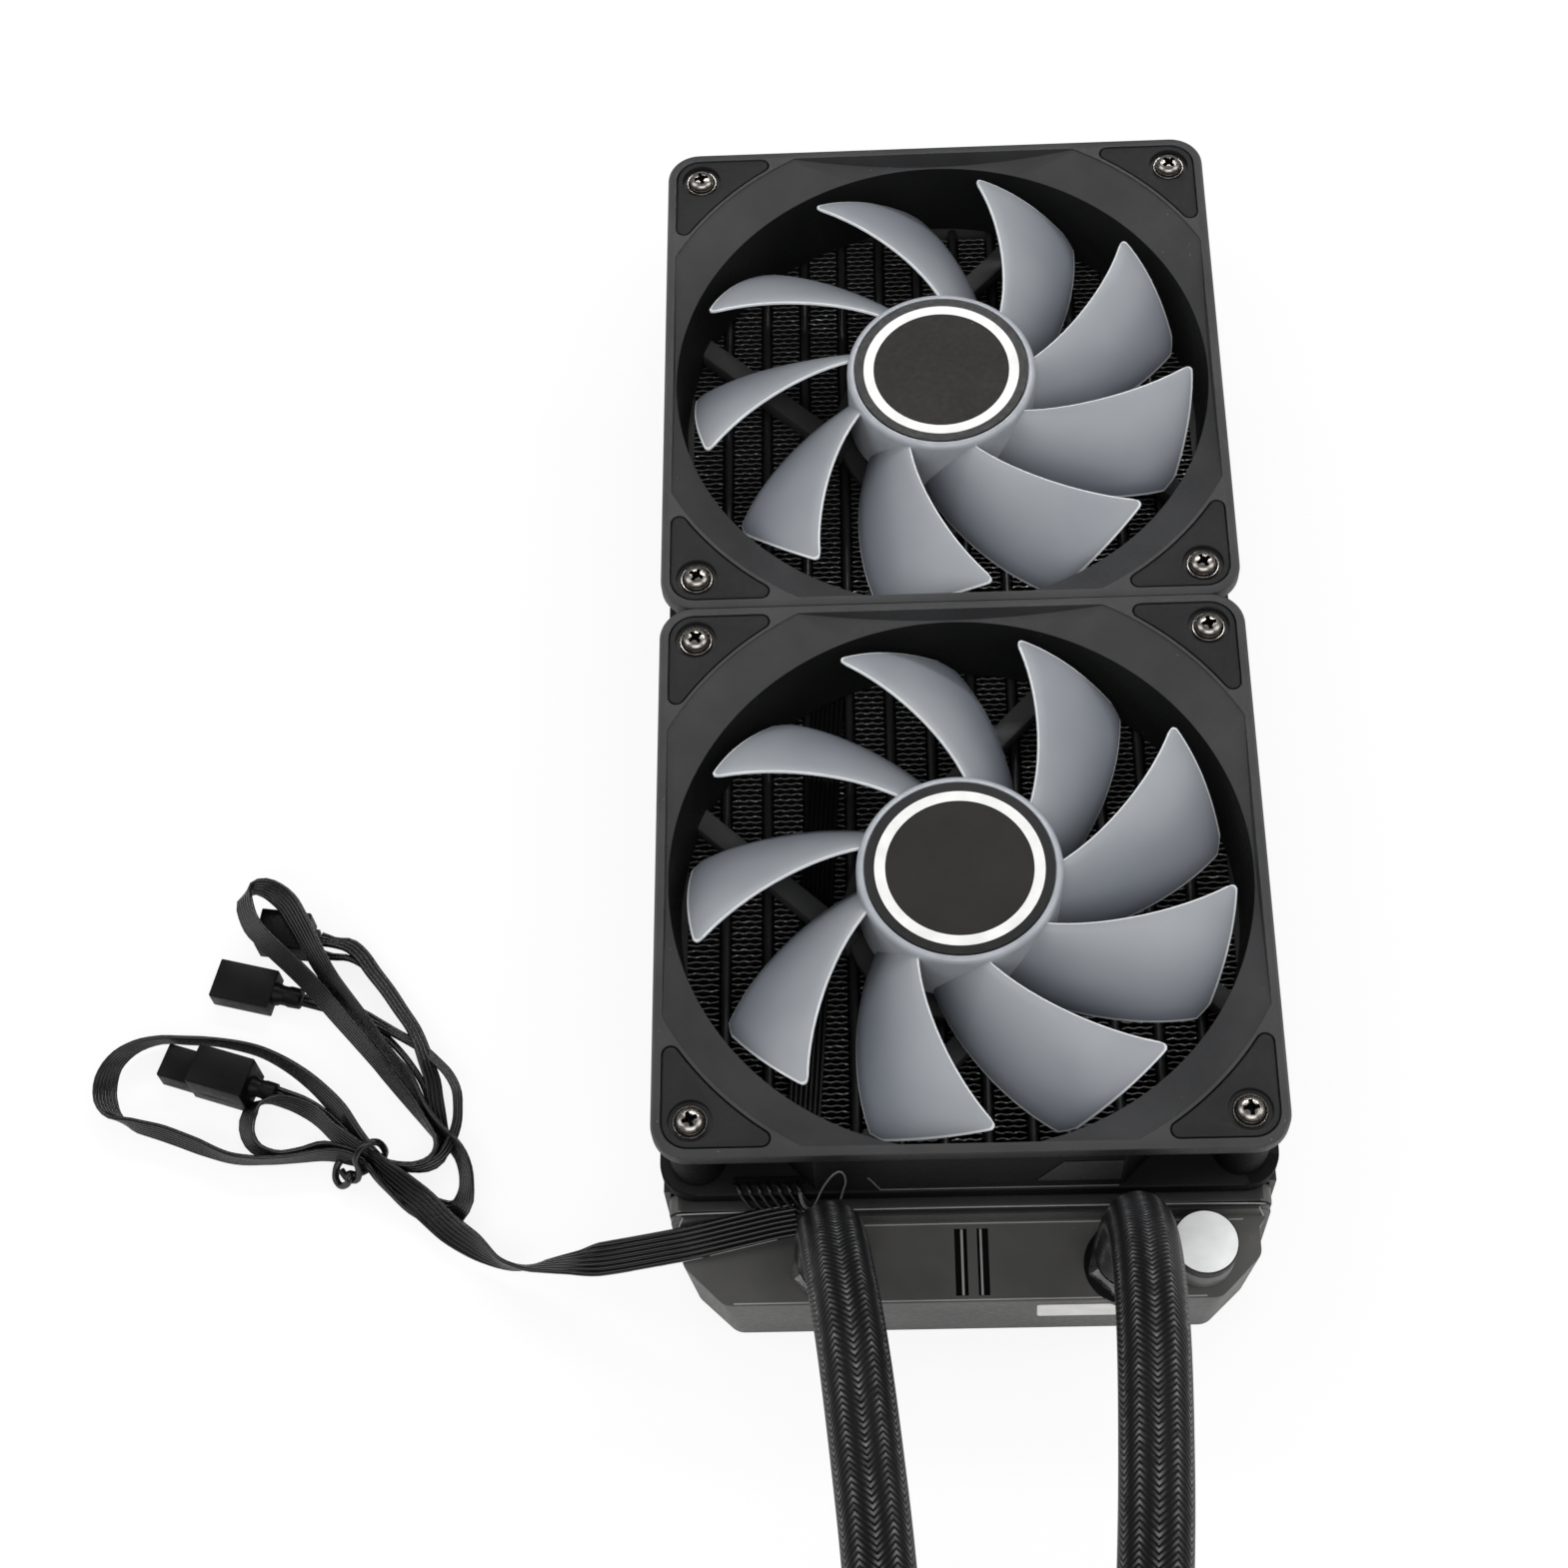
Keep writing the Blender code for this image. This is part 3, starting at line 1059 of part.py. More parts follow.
def build():
    """Make every piece and hang them all from one empty at the cooler's origin."""
    clear_scene()
    black_paint = make_material("black_paint", (0.012, 0.012, 0.013), 0.45)
    fin_black = make_material("fin_black", (0.01, 0.01, 0.011), 0.4, 0.3)
    frame_black = make_material("frame_black", (0.022, 0.022, 0.024), 0.6)
    pad_rubber = make_material("pad_rubber", (0.018, 0.018, 0.02), 0.75)
    frosted = make_material("frosted_blade", (0.42, 0.46, 0.52), 0.35)
    disc_black = make_material("disc_black", (0.03, 0.027, 0.025), 0.5)
    steel = make_material("screw_steel", (0.42, 0.38, 0.34), 0.25, 1.0)
    bright = make_material("bright_steel", (0.6, 0.6, 0.6), 0.25, 1.0)
    ferrite = make_material("ferrite", (0.05, 0.05, 0.05), 0.6)
    winding = make_material("winding", (0.45, 0.2, 0.08), 0.4, 0.8)
    bronze = make_material("bronze", (0.4, 0.26, 0.1), 0.4, 1.0)
    copper = make_material("copper", (0.72, 0.36, 0.22), 0.3, 1.0)
    braid = make_material("black_braid", (0.012, 0.012, 0.013), 0.5)
    lead_black = make_material("lead_black", (0.01, 0.01, 0.01), 0.45)

    add_object("radiator_core", core_shape(), fin_black)
    add_object("right_side_rail", rail_shape(1), black_paint)
    add_object("left_side_rail", rail_shape(-1), black_paint)
    add_object("near_end_tank", near_tank_shape(), black_paint)
    add_object("far_end_tank", tank_shape(FAR_TANK_LENGTH), black_paint)
    add_object("fill_port_cap", fill_cap_shape(), frame_black, (FILL_CAP_X, PORT_Y, 0.0))
    for side, x, pump_x in zip(("left", "right"), PORT_XS, (-PUMP_FITTING_X, PUMP_FITTING_X)):
        add_object(f"{side}_port_fitting", fitting_shape(), bright, (x, PORT_Y, 0.0))
        add_object(f"{side}_hose_ferrule", ferrule_shape(), frame_black, (x, PORT_Y, FERRULE_BOTTOM))
        route = hose_route(x, pump_x, HOSE_ARCHES[side])
        add_cord(f"{side}_hose", route, HOSE_DIAMETER / 2, HOSE_STEP, braid, 3)

    frame = add_object("near_fan_frame", frame_shape(), frame_black)
    rotor = add_object("near_fan_rotor", rotor_shape(), frosted)
    for fan, centre_y, phase in zip(("near", "far"), FAN_CENTRES_Y, ROTOR_PHASES_DEG):
        place = (0.0, centre_y, FAN_BOTTOM)
        if fan == "far":
            frame = add_mesh("far_fan_frame", frame.data.copy(), frame_black)
            rotor = add_mesh("far_fan_rotor", rotor.data.copy(), frosted)
        frame.location = Vector(place) * MM
        rotor.location = Vector(place) * MM
        rotor.rotation_euler.z = math.radians(phase)
        disc = rod(HUB_DISC_R, HUB_TOP - HUB_DISC_THICKNESS, HUB_TOP, MEDIUM_FACET_COUNT)
        add_object(f"{fan}_fan_hub_disc", disc, disc_black, place, phase)
        magnet_r = HUB_R - HUB_WALL - SEAT_GAP
        magnet = tube(magnet_r, magnet_r - MAGNET_WALL, HUB_BOTTOM, HUB_BOTTOM + MAGNET_HEIGHT,
                      MEDIUM_FACET_COUNT)
        add_object(f"{fan}_fan_magnet_ring", magnet, ferrite, place, phase)
        shaft = rod(SHAFT_R, MOTOR_BASE_HEIGHT / 2 + SEAT_GAP, HUB_TOP - HUB_ROOF - HUB_DISC_THICKNESS,
                    SMALL_FACET_COUNT)
        add_object(f"{fan}_fan_shaft", shaft, bright, place, phase)
        bearing = tube(BEARING_R, SHAFT_R + BEARING_GAP, MOTOR_BASE_HEIGHT / 2 + SEAT_GAP, BEARING_TUBE_TOP,
                       SMALL_FACET_COUNT)
        add_object(f"{fan}_fan_bearing", bearing, bronze, place)
        add_object(f"{fan}_fan_stator", stator_shape(), winding, place)
        corners = ("back_right", "back_left", "front_left", "front_right")
        for quarter, corner in enumerate(corners):
            pad = ring_prism(pad_outline(), arc((SCREW_OFFSET, SCREW_OFFSET), PAD_HOLE_R, 0, 315, 7),
                             PAD_FLOOR + SEAT_GAP, FAN_DEPTH)
            add_object(f"{fan}_fan_pad_{corner}", pad, pad_rubber, place, 90 * quarter)
            x, y = polar(SCREW_OFFSET * math.sqrt(2), 45 + 90 * quarter)
            screw_z = FAN_BOTTOM + PAD_FLOOR + SEAT_GAP
            add_object(f"{fan}_fan_screw_{corner}", screw_shape(), steel, (x, centre_y + y, screw_z))

    add_object("link_ribbon", link_ribbon_shape(), lead_black)
    add_cord("fan_lead", lead_knots(FAN_LEAD_ROUTE), LEAD_CORE_R, FAN_LEAD_STEP, lead_black)
    add_cord("power_lead", lead_knots(POWER_LEAD_ROUTE), LEAD_CORE_R, SHORT_LEAD_STEP, lead_black)
    add_cord("light_lead", lead_knots(LIGHT_LEAD_ROUTE), LEAD_CORE_R, SHORT_LEAD_STEP, lead_black)
    add_cord("tail_lead", lead_knots(TAIL_LEAD_ROUTE), LEAD_CORE_R, TAIL_LEAD_STEP, lead_black)
    for name, (x, y), heading, *sizes in CONNECTORS:
        place = (x - HALF_RADIATOR, y - HEADER_END, 0.0)
        add_object(name, connector_shape(*sizes), lead_black, place, heading)
    tie_place = lead_knots([TIE_PLACE])[0]
    add_object("lead_tie", tie_shape(), lead_black, tie_place, TIE_HEADING)

    pump = (0.0, PUMP_CENTRE_Y, 0.0)
    add_object("pump_housing", pump_housing_shape(), frame_black, pump)
    plate = prism(rounded_rectangle(COLD_PLATE_HALF, COLD_PLATE_HALF, COLD_PLATE_CORNER, 3), 0.0,
                  COLD_PLATE_THICKNESS)
    add_object("cold_plate", plate, copper, pump)
    add_object("pump_cover", pump_cover_shape(), frame_black,
               (0.0, PUMP_CENTRE_Y, PUMP_HOUSING_TOP + SEAT_GAP))
    add_object("pump_impeller", impeller_shape(), frame_black, pump)
    pump_shaft = rod(PUMP_SHAFT_R, HOUSING_BOTTOM + SEAT_GAP, PUMP_CAN_TOP + 2.0 - SEAT_GAP,
                     TINY_FACET_COUNT)
    add_object("pump_shaft", pump_shaft, bright, pump)
    stator_bottom = HOUSING_BOTTOM + PUMP_CHAMBER_HEIGHT + 2.0 + SEAT_GAP
    stator = tube(PUMP_STATOR_R, PUMP_CAN_R + PUMP_CAN_WALL + SEAT_GAP, stator_bottom,
                  stator_bottom + PUMP_STATOR_HEIGHT, MEDIUM_FACET_COUNT)
    add_object("pump_stator", stator, winding, pump)
    for side, sign in (("left", -1), ("right", 1)):
        seat = (sign * PUMP_FITTING_X, PUMP_FRONT_Y - PUMP_FLAT_DEPTH, PUMP_FITTING_Z)
        add_object(f"pump_{side}_fitting", pump_fitting_shape(), bright, seat)

    pieces = list(bpy.data.objects)
    frame_empty = bpy.data.objects.new("cooler_frame", None)
    bpy.context.collection.objects.link(frame_empty)
    frame_empty.location = (0.0, -ORIGIN_Y * MM, 0.0)
    for piece in pieces:
        piece.parent = frame_empty


build()
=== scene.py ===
"""Looks of the two-fan liquid cooler: the finish of every surface, the braided hoses and flat
leads, and the fans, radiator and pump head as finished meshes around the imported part.

Pieces are shaped in millimetres about the middle of the two fans, X to the right, Y away from
the hose end, Z up from the table. settle() then scales each one to metres and puts it in place.
"""
import math

import bmesh
import bpy
import numpy as np
from mathutils import Matrix, Vector


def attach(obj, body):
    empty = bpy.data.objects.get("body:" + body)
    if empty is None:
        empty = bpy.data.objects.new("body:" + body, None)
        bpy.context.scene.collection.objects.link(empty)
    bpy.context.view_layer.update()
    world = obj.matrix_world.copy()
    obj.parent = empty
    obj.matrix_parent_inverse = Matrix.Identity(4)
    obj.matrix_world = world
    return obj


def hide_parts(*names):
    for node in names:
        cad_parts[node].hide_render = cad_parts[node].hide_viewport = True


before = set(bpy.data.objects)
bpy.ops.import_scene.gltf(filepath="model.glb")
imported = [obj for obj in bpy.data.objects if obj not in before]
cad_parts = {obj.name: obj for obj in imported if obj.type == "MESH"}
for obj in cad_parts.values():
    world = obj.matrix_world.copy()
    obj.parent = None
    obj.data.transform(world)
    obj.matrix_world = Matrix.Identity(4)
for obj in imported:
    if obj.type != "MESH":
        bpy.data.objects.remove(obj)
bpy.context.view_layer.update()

MM = 0.001
MIDDLE_Y = 190.75

# Camera, as the photograph was taken
CAMERA_PLACE = (-0.01157, -0.10551, 0.53963)
CAMERA_RIGHT = (0.99879, -0.00399, -0.04897)
CAMERA_FORWARD = (-0.04157, 0.46272, -0.88553)
CAMERA_LENS = 63.27
FLOOR_GLOW = 0.86

# Fans
FAN_CENTRES = {"near": -60.0, "far": 60.0}
FAN_PHASES = {"near": -3.8, "far": 0.7}
FAN_FOOT = 27.3
FAN_HALF = 60.0
FAN_DEPTH = 25.0
FAN_CORNER = 7.0
FLANGE = 3.6
DUCT_R = 56.8
DUCT_FLARE = 1.0
DUCT_HALF = 59.3
DUCT_FLAT = 29.4
BELL_R = 66.0
BELL_DEPTH = 4.8
RIM = 1.9
POST_R = 5.4
POST_WEB = 4.0
SCREW_PLACE = 52.5
SCREW_HOLE_R = 2.2
PAD_TOP = 25.0
PAD_FLOOR = 23.4
STRUT_WIDTH = 4.6
STRUT_HEIGHT = 4.0
STRUT_OUTER_DEG = 157.0
STRUT_INNER_DEG = 198.0
MOTOR_BASE_R = 23.5
MOTOR_BASE_HEIGHT = 2.5
BEARING_TUBE_R = 5.4
BEARING_TUBE_TOP = 14.0
BEARING_BORE_R = 4.3
HUB_R = 20.5
HUB_WALL = 1.5
HUB_BOTTOM = 6.0
HUB_TOP = 22.9
DISC_R = 18.75
WHITE_RING = (14.7, 16.85)
TIP_R = 54.3
BLADES = 9
BLADE_THICKNESS = 1.25

ROOT_R = 19.75
TIP_SPAN = 29.0
LEAD_CORNER_R = 2.2
TRAIL_CUT = (2.6, 1.3)
BLADE_BULGE = 0.13
PAD_EDGE_INSET = 2.2
PAD_CORNER_R = 5.0
PAD_ARC_R = 67.0
PAD_END_R = 1.5
PAD_HOLE_R = 4.2
PAD_GROOVE = 0.36
SCREW_LENGTH = 25.2
SCREW_SHANK_R = 1.4
SCREW_TURNS = {
    ("near", "back_right"): 12.0, ("near", "back_left"): 35.0, ("near", "front_left"): 20.0,
    ("near", "front_right"): 5.0, ("far", "back_right"): 40.0, ("far", "back_left"): 15.0,
    ("far", "front_left"): 62.0, ("far", "front_right"): 28.0,
}

# Cords
HOSE_R = 6.2
HOSE_STEP = 1.6
FLARE = 0.09
FLARE_LENGTH = 11.0
WIRE_PITCH = 0.95
WIRE_R = 0.49
TIE_R = 0.74
# Stretches of the fan lead's edge wire painted white as a highlight
HIGHLIGHT_STRETCHES = ((-50.3, -37.4), (-59.5, -52.5), (-66.0, -61.0))

# Radiator
HALF_WIDTH = 59.5
CORE_HALF = 117.7
CORE_TOP = 25.5
CORE_BOTTOM = 1.5
TUBES = 12
TUBE_PITCH = 8.7
TUBE_WIDTH = 1.8
FIN_PITCH = 2.54
FIN_SHEET = 0.26
BOSS_RS = {"left": 6.9, "right": 8.3}
HEADER_START = 118.0
HEADER_END = 122.8
TANK_TOP = 22.5
NEAR_TANK_LENGTH = 16.7
FAR_TANK_LENGTH = 10.7
PORT_Y = -132.5
PORT_XS = {"left": -27.0, "right": 30.0}
PORT_HOLE_R = 3.9
NUT_FLATS = 14.0
COLLAR_LOW = 27.8
CAP_X = 44.5
CAP_Y = -131.3
RIB_GROOVES = ((-3.1, -1.9), (-1.4, -0.65), (1.3, 1.8), (2.25, 3.5))

# Pump head
PUMP_Y = -482.0
PUMP_R = 33.0


# Camera, floor and light

def matrix_from_axes(place, right, forward):
    """World matrix of something that looks along forward with right to its right."""
    right = Vector(right).normalized()
    back = -Vector(forward).normalized()
    up = back.cross(right).normalized()
    matrix = Matrix((right, up, back)).transposed().to_4x4()
    matrix.translation = Vector(place)
    return matrix


def aim_camera():
    """The photograph's camera, a little left of the middle and high above the hose end."""
    camera = bpy.data.cameras.new("camera")
    camera.lens = CAMERA_LENS
    camera.sensor_width = 36.0
    camera.clip_start = 0.01
    camera.clip_end = 20.0
    holder = bpy.data.objects.new("camera", camera)
    bpy.context.collection.objects.link(holder)
    holder.matrix_world = matrix_from_axes(CAMERA_PLACE, CAMERA_RIGHT, CAMERA_FORWARD)
    bpy.context.scene.camera = holder


def add_area_light(name, place, target, size, power):
    """A soft rectangular lamp pointed at a place."""
    lamp = bpy.data.lights.new(name, "AREA")
    lamp.shape = "RECTANGLE"
    lamp.size = size[0]
    lamp.size_y = size[1]
    lamp.energy = power
    holder = bpy.data.objects.new(name, lamp)
    bpy.context.collection.objects.link(holder)
    holder.location = place
    aim = Vector(target) - Vector(place)
    holder.rotation_euler = aim.to_track_quat("-Z", "Y").to_euler()


def light_studio():
    """Soft light from above and behind, with a pale surround."""
    world = bpy.data.worlds.new("studio")
    world.use_nodes = True
    bpy.context.scene.world = world
    nodes = world.node_tree.nodes
    background = nodes["Background"]
    background.inputs["Color"].default_value = (1.0, 1.0, 1.0, 1.0)
    rays = nodes.new("ShaderNodeLightPath")
    strength = nodes.new("ShaderNodeMapRange")
    strength.inputs["To Min"].default_value = 0.5
    strength.inputs["To Max"].default_value = 0.14
    world.node_tree.links.new(rays.outputs["Is Glossy Ray"], strength.inputs["Value"])
    world.node_tree.links.new(strength.outputs["Result"], background.inputs["Strength"])
    add_area_light("softbox_front", (0.05, -0.9, 1.3), (0.0, 0.05, 0.0), (1.6, 1.0), 12.0)
    add_area_light("softbox_left", (-1.2, 0.2, 1.0), (0.0, 0.15, 0.0), (0.8, 1.2), 5.5)
    add_area_light("softbox_right", (1.2, 0.1, 1.0), (0.0, 0.15, 0.0), (0.8, 1.2), 5.5)
    add_area_light("strip_behind", (0.1, 1.1, 1.2), (0.0, 0.1, 0.0), (1.6, 0.12), 9.0)


def lay_floor():
    """Plain pale floor, nearly plain white to the camera."""
    bpy.ops.mesh.primitive_plane_add(size=12.0, location=(0.0, 0.0, -0.0002))
    floor = bpy.context.object
    floor.name = "floor"
    material = bpy.data.materials.new("floor_white")
    material.use_nodes = True
    nodes = material.node_tree.nodes
    links = material.node_tree.links
    shader = nodes["Principled BSDF"]
    shader.inputs["Base Color"].default_value = (0.9, 0.9, 0.9, 1.0)
    shader.inputs["Roughness"].default_value = 0.9
    glow = nodes.new("ShaderNodeEmission")
    rays = nodes.new("ShaderNodeLightPath")
    seen = nodes.new("ShaderNodeMath")
    seen.operation = "MULTIPLY"
    seen.inputs[1].default_value = FLOOR_GLOW
    links.new(rays.outputs["Is Camera Ray"], seen.inputs[0])
    mix = nodes.new("ShaderNodeMixShader")
    links.new(seen.outputs[0], mix.inputs[0])
    links.new(shader.outputs[0], mix.inputs[1])
    links.new(glow.outputs[0], mix.inputs[2])
    links.new(mix.outputs[0], nodes["Material Output"].inputs["Surface"])
    floor.data.materials.append(material)


# Working with pieces

def pick(piece):
    """Select one piece and nothing else."""
    bpy.ops.object.select_all(action="DESELECT")
    piece.select_set(True)
    bpy.context.view_layer.objects.active = piece


def take_new(name):
    """The piece that an operator has just added."""
    piece = bpy.context.object
    piece.name = name
    piece.data.name = name
    return piece


def finish_modifier(piece, kind, **settings):
    """Put a modifier on a piece and apply it."""
    modifier = piece.modifiers.new(kind.lower(), kind)
    for key, value in settings.items():
        setattr(modifier, key, value)
    pick(piece)
    bpy.ops.object.modifier_apply(modifier=modifier.name)
    return piece


def cut(piece, *tools):
    """Take tools out of a piece."""
    for tool in tools:
        finish_modifier(piece, "BOOLEAN", operation="DIFFERENCE", solver="EXACT", object=tool)
        bpy.data.objects.remove(tool)
    return piece


def fuse(piece, *tools):
    """Join solids into one skin."""
    for tool in tools:
        finish_modifier(piece, "BOOLEAN", operation="UNION", solver="EXACT", object=tool)
        bpy.data.objects.remove(tool)
    return piece


def gather(name, pieces):
    """Join pieces into one object without cutting them."""
    bpy.ops.object.select_all(action="DESELECT")
    for piece in pieces:
        piece.select_set(True)
    bpy.context.view_layer.objects.active = pieces[0]
    if len(pieces) > 1:
        bpy.ops.object.join()
    return take_new(name)


def shift(piece, offset=(0.0, 0.0, 0.0), turn_deg=(0.0, 0.0, 0.0)):
    """Turn a piece about the origin, then move it, with the place kept in its mesh."""
    piece.rotation_euler = [math.radians(angle) for angle in turn_deg]
    piece.location = offset
    pick(piece)
    bpy.ops.object.transform_apply(location=True, rotation=True, scale=True)
    return piece


def copy(piece, name, offset=(0.0, 0.0, 0.0), turn_deg=(0.0, 0.0, 0.0)):
    """A copy with its own mesh, turned and moved."""
    twin = piece.copy()
    twin.data = piece.data.copy()
    twin.name = name
    bpy.context.collection.objects.link(twin)
    return shift(twin, offset, turn_deg)


def smooth(piece, angle=35.0):
    """Smooth shading with creases kept sharp."""
    pick(piece)
    bpy.ops.object.shade_smooth_by_angle(angle=math.radians(angle))
    return piece


def round_edges(piece, width, segments=2, angle=40.0):
    """Rounded edges wherever faces meet at more than an angle."""
    return finish_modifier(piece, "BEVEL", width=width, segments=segments, limit_method="ANGLE",
                           angle_limit=math.radians(angle), harden_normals=False)


def settle(piece, look, body="cooler", replaces=()):
    """Finish a piece: millimetres to metres, into place, material, and the body it rides on."""
    piece.location = (0.0, MIDDLE_Y * MM, 0.0)
    piece.scale = (MM, MM, MM)
    pick(piece)
    bpy.ops.object.transform_apply(location=True, rotation=True, scale=True)
    if look is not None:
        piece.data.materials.clear()
        piece.data.materials.append(look)
    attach(piece, body)
    if replaces:
        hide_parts(*replaces)
    return piece


# Shapes that many pieces start from

def polar(radius, degrees):
    """A point on a circle."""
    return (radius * math.cos(math.radians(degrees)), radius * math.sin(math.radians(degrees)))


def arc(centre, radius, start_deg, end_deg, steps):
    """Points along an arc."""
    points = []
    for i in range(steps + 1):
        x, y = polar(radius, start_deg + (end_deg - start_deg) * i / steps)
        points.append((centre[0] + x, centre[1] + y))
    return points


def rounded_corners(corners, radius, steps=8):
    """Outline of a polygon, listed anticlockwise, each corner rounded by its own or the shared radius."""
    points = []
    count = len(corners)
    for i, corner in enumerate(corners):
        here = Vector(corner[:2])
        back = (Vector(corners[i - 1][:2]) - here).normalized()
        ahead = (Vector(corners[(i + 1) % count][:2]) - here).normalized()
        bend = corner[2] if len(corner) > 2 else radius
        half = back.angle(ahead) / 2
        centre = here + (back + ahead).normalized() * (bend / math.sin(half))
        first = here + back * (bend / math.tan(half))
        last = here + ahead * (bend / math.tan(half))
        start = math.atan2(first.y - centre.y, first.x - centre.x)
        sweep = math.atan2(last.y - centre.y, last.x - centre.x) - start
        sweep = (sweep + math.pi) % (2 * math.pi) - math.pi
        for step in range(steps + 1):
            angle = start + sweep * step / steps
            points.append((centre.x + bend * math.cos(angle), centre.y + bend * math.sin(angle)))
    return points


def rounded_box(half_x, half_y, radius, steps=8):
    """Outline of a rectangle with round corners."""
    corners = [(half_x, half_y), (-half_x, half_y), (-half_x, -half_y), (half_x, -half_y)]
    return rounded_corners(corners, radius, steps)


def lay_loop(points, fill="NOTHING", upright=False):
    """A primitive ring or disc whose points are pulled onto an outline."""
    bpy.ops.object.select_all(action="DESELECT")
    bpy.ops.mesh.primitive_circle_add(vertices=len(points), radius=1.0, fill_type=fill)
    ring = bpy.context.object
    for vert, (a, b) in zip(ring.data.vertices, points):
        vert.co = (a, 0.0, b) if upright else (a, b, 0.0)
    return ring


def tidy_skin(piece, distance=0.0005):
    """Merge doubled points and turn all faces outwards."""
    pick(piece)
    bpy.ops.object.mode_set(mode="EDIT")
    bpy.ops.mesh.select_all(action="SELECT")
    bpy.ops.mesh.remove_doubles(threshold=distance)
    bpy.ops.mesh.normals_make_consistent(inside=False)
    bpy.ops.object.mode_set(mode="OBJECT")
    return piece


def plate(name, outline, bottom, top):
    """A flat outline drawn up from bottom to top."""
    lay_loop(outline, "NGON")
    bpy.ops.object.mode_set(mode="EDIT")
    bpy.ops.mesh.select_all(action="SELECT")
    bpy.ops.mesh.extrude_region_move(TRANSFORM_OT_translate={"value": (0.0, 0.0, top - bottom)})
    bpy.ops.mesh.select_all(action="SELECT")
    bpy.ops.transform.translate(value=(0.0, 0.0, bottom))
    bpy.ops.object.mode_set(mode="OBJECT")
    return tidy_skin(take_new(name))


def turn(name, profile, sides=96):
    """A closed outline of (radius, height) points spun about the Z axis."""
    lay_loop(profile, upright=True)
    bpy.ops.object.mode_set(mode="EDIT")
    bpy.ops.mesh.select_all(action="SELECT")
    bpy.ops.mesh.spin(steps=sides, angle=2 * math.pi, center=(0.0, 0.0, 0.0), axis=(0.0, 0.0, 1.0))
    bpy.ops.object.mode_set(mode="OBJECT")
    return tidy_skin(take_new(name))


def rod(name, radius, bottom, top, sides=64, centre=(0.0, 0.0)):
    """A round bar."""
    bpy.ops.object.select_all(action="DESELECT")
    bpy.ops.mesh.primitive_cylinder_add(
        vertices=sides, radius=radius, depth=top - bottom, location=(*centre, (top + bottom) / 2))
    piece = take_new(name)
    return shift(piece, piece.location)


def block(name, low, high):
    """A box between two opposite corners."""
    middle = (Vector(low) + Vector(high)) / 2
    size = Vector(high) - Vector(low)
    bpy.ops.object.select_all(action="DESELECT")
    bpy.ops.mesh.primitive_cube_add(size=1.0, location=middle)
    piece = take_new(name)
    piece.scale = size
    return shift(piece, middle)


def bevel_chosen(piece, width, segments, chosen):
    """Bevel the edges of a piece for which chosen says yes."""
    pick(piece)
    bpy.ops.object.mode_set(mode="EDIT")
    bpy.ops.mesh.select_mode(type="EDGE")
    bpy.ops.mesh.select_all(action="DESELECT")
    skin = bmesh.from_edit_mesh(piece.data)
    for edge in skin.edges:
        if chosen(*(vert.co for vert in edge.verts)):
            edge.select_set(True)
    bmesh.update_edit_mesh(piece.data)
    bpy.ops.mesh.bevel(offset=width, segments=segments, affect="EDGES", clamp_overlap=True)
    bpy.ops.object.mode_set(mode="OBJECT")
    return piece


# Routes and swept cords

def smooth_route(points, spacing):
    """Points at even steps along a smooth curve through the given ones."""
    knots = [Vector(point) for point in points]
    knots = [knots[0] * 2 - knots[1], *knots, knots[-1] * 2 - knots[-2]]
    fine = []
    for i in range(1, len(knots) - 2):
        a, b, c, d = knots[i - 1:i + 3]
        for step in range(24):
            t = step / 24
            fine.append(0.5 * (2 * b + (c - a) * t + (2 * a - 5 * b + 4 * c - d) * t * t
                               + (3 * b - a - 3 * c + d) * t ** 3))
    fine.append(knots[-2])
    walked = [0.0]
    for first, second in zip(fine, fine[1:]):
        walked.append(walked[-1] + (second - first).length)
    count = max(2, round(walked[-1] / spacing))
    wanted = np.linspace(0.0, walked[-1], count + 1)
    columns = [np.interp(wanted, walked, [point[axis] for point in fine]) for axis in range(3)]
    shares = wanted / walked[-1]
    return [Vector(place) for place in zip(*columns)], shares, walked[-1]


def sweep(name, route, section, facings, sizes=None):
    """A skin drawn along a route: section points are (sideways, outwards), outwards being the facing."""
    count = len(section)
    sizes = sizes or [1.0] * len(route)
    verts = []
    for i, place in enumerate(route):
        ahead = (route[min(i + 1, len(route) - 1)] - route[max(i - 1, 0)]).normalized()
        up = (facings[i] - ahead * ahead.dot(facings[i])).normalized()
        right = ahead.cross(up)
        verts += [place + (right * x + up * y) * sizes[i] for x, y in section]
    faces = []
    for i in range(len(route) - 1):
        for j in range(count):
            k = (j + 1) % count
            faces.append((i * count + j, i * count + k, (i + 1) * count + k, (i + 1) * count + j))
    faces.append(tuple(range(count)))
    faces.append(tuple(range(len(verts) - count, len(verts)))[::-1])
    mesh = bpy.data.meshes.new(name)
    mesh.from_pydata(verts, [], faces)
    layer = mesh.uv_layers.new(name="along")
    walked = [0.0]
    for first, second in zip(route, route[1:]):
        walked.append(walked[-1] + (second - first).length)
    corner = 0
    for i in range(len(route) - 1):
        for j in range(count):
            u0, u1 = j / count, (j + 1) / count
            v0, v1 = walked[i] * MM, walked[i + 1] * MM
            for u, v in ((u0, v0), (u1, v0), (u1, v1), (u0, v1)):
                layer.data[corner].uv = (u, v)
                corner += 1
    piece = bpy.data.objects.new(name, mesh)
    bpy.context.collection.objects.link(piece)
    pick(piece)
    bpy.ops.object.mode_set(mode="EDIT")
    bpy.ops.mesh.select_all(action="SELECT")
    bpy.ops.mesh.normals_make_consistent(inside=False)
    bpy.ops.object.mode_set(mode="OBJECT")
    return smooth(piece, 50.0)


# Finishes

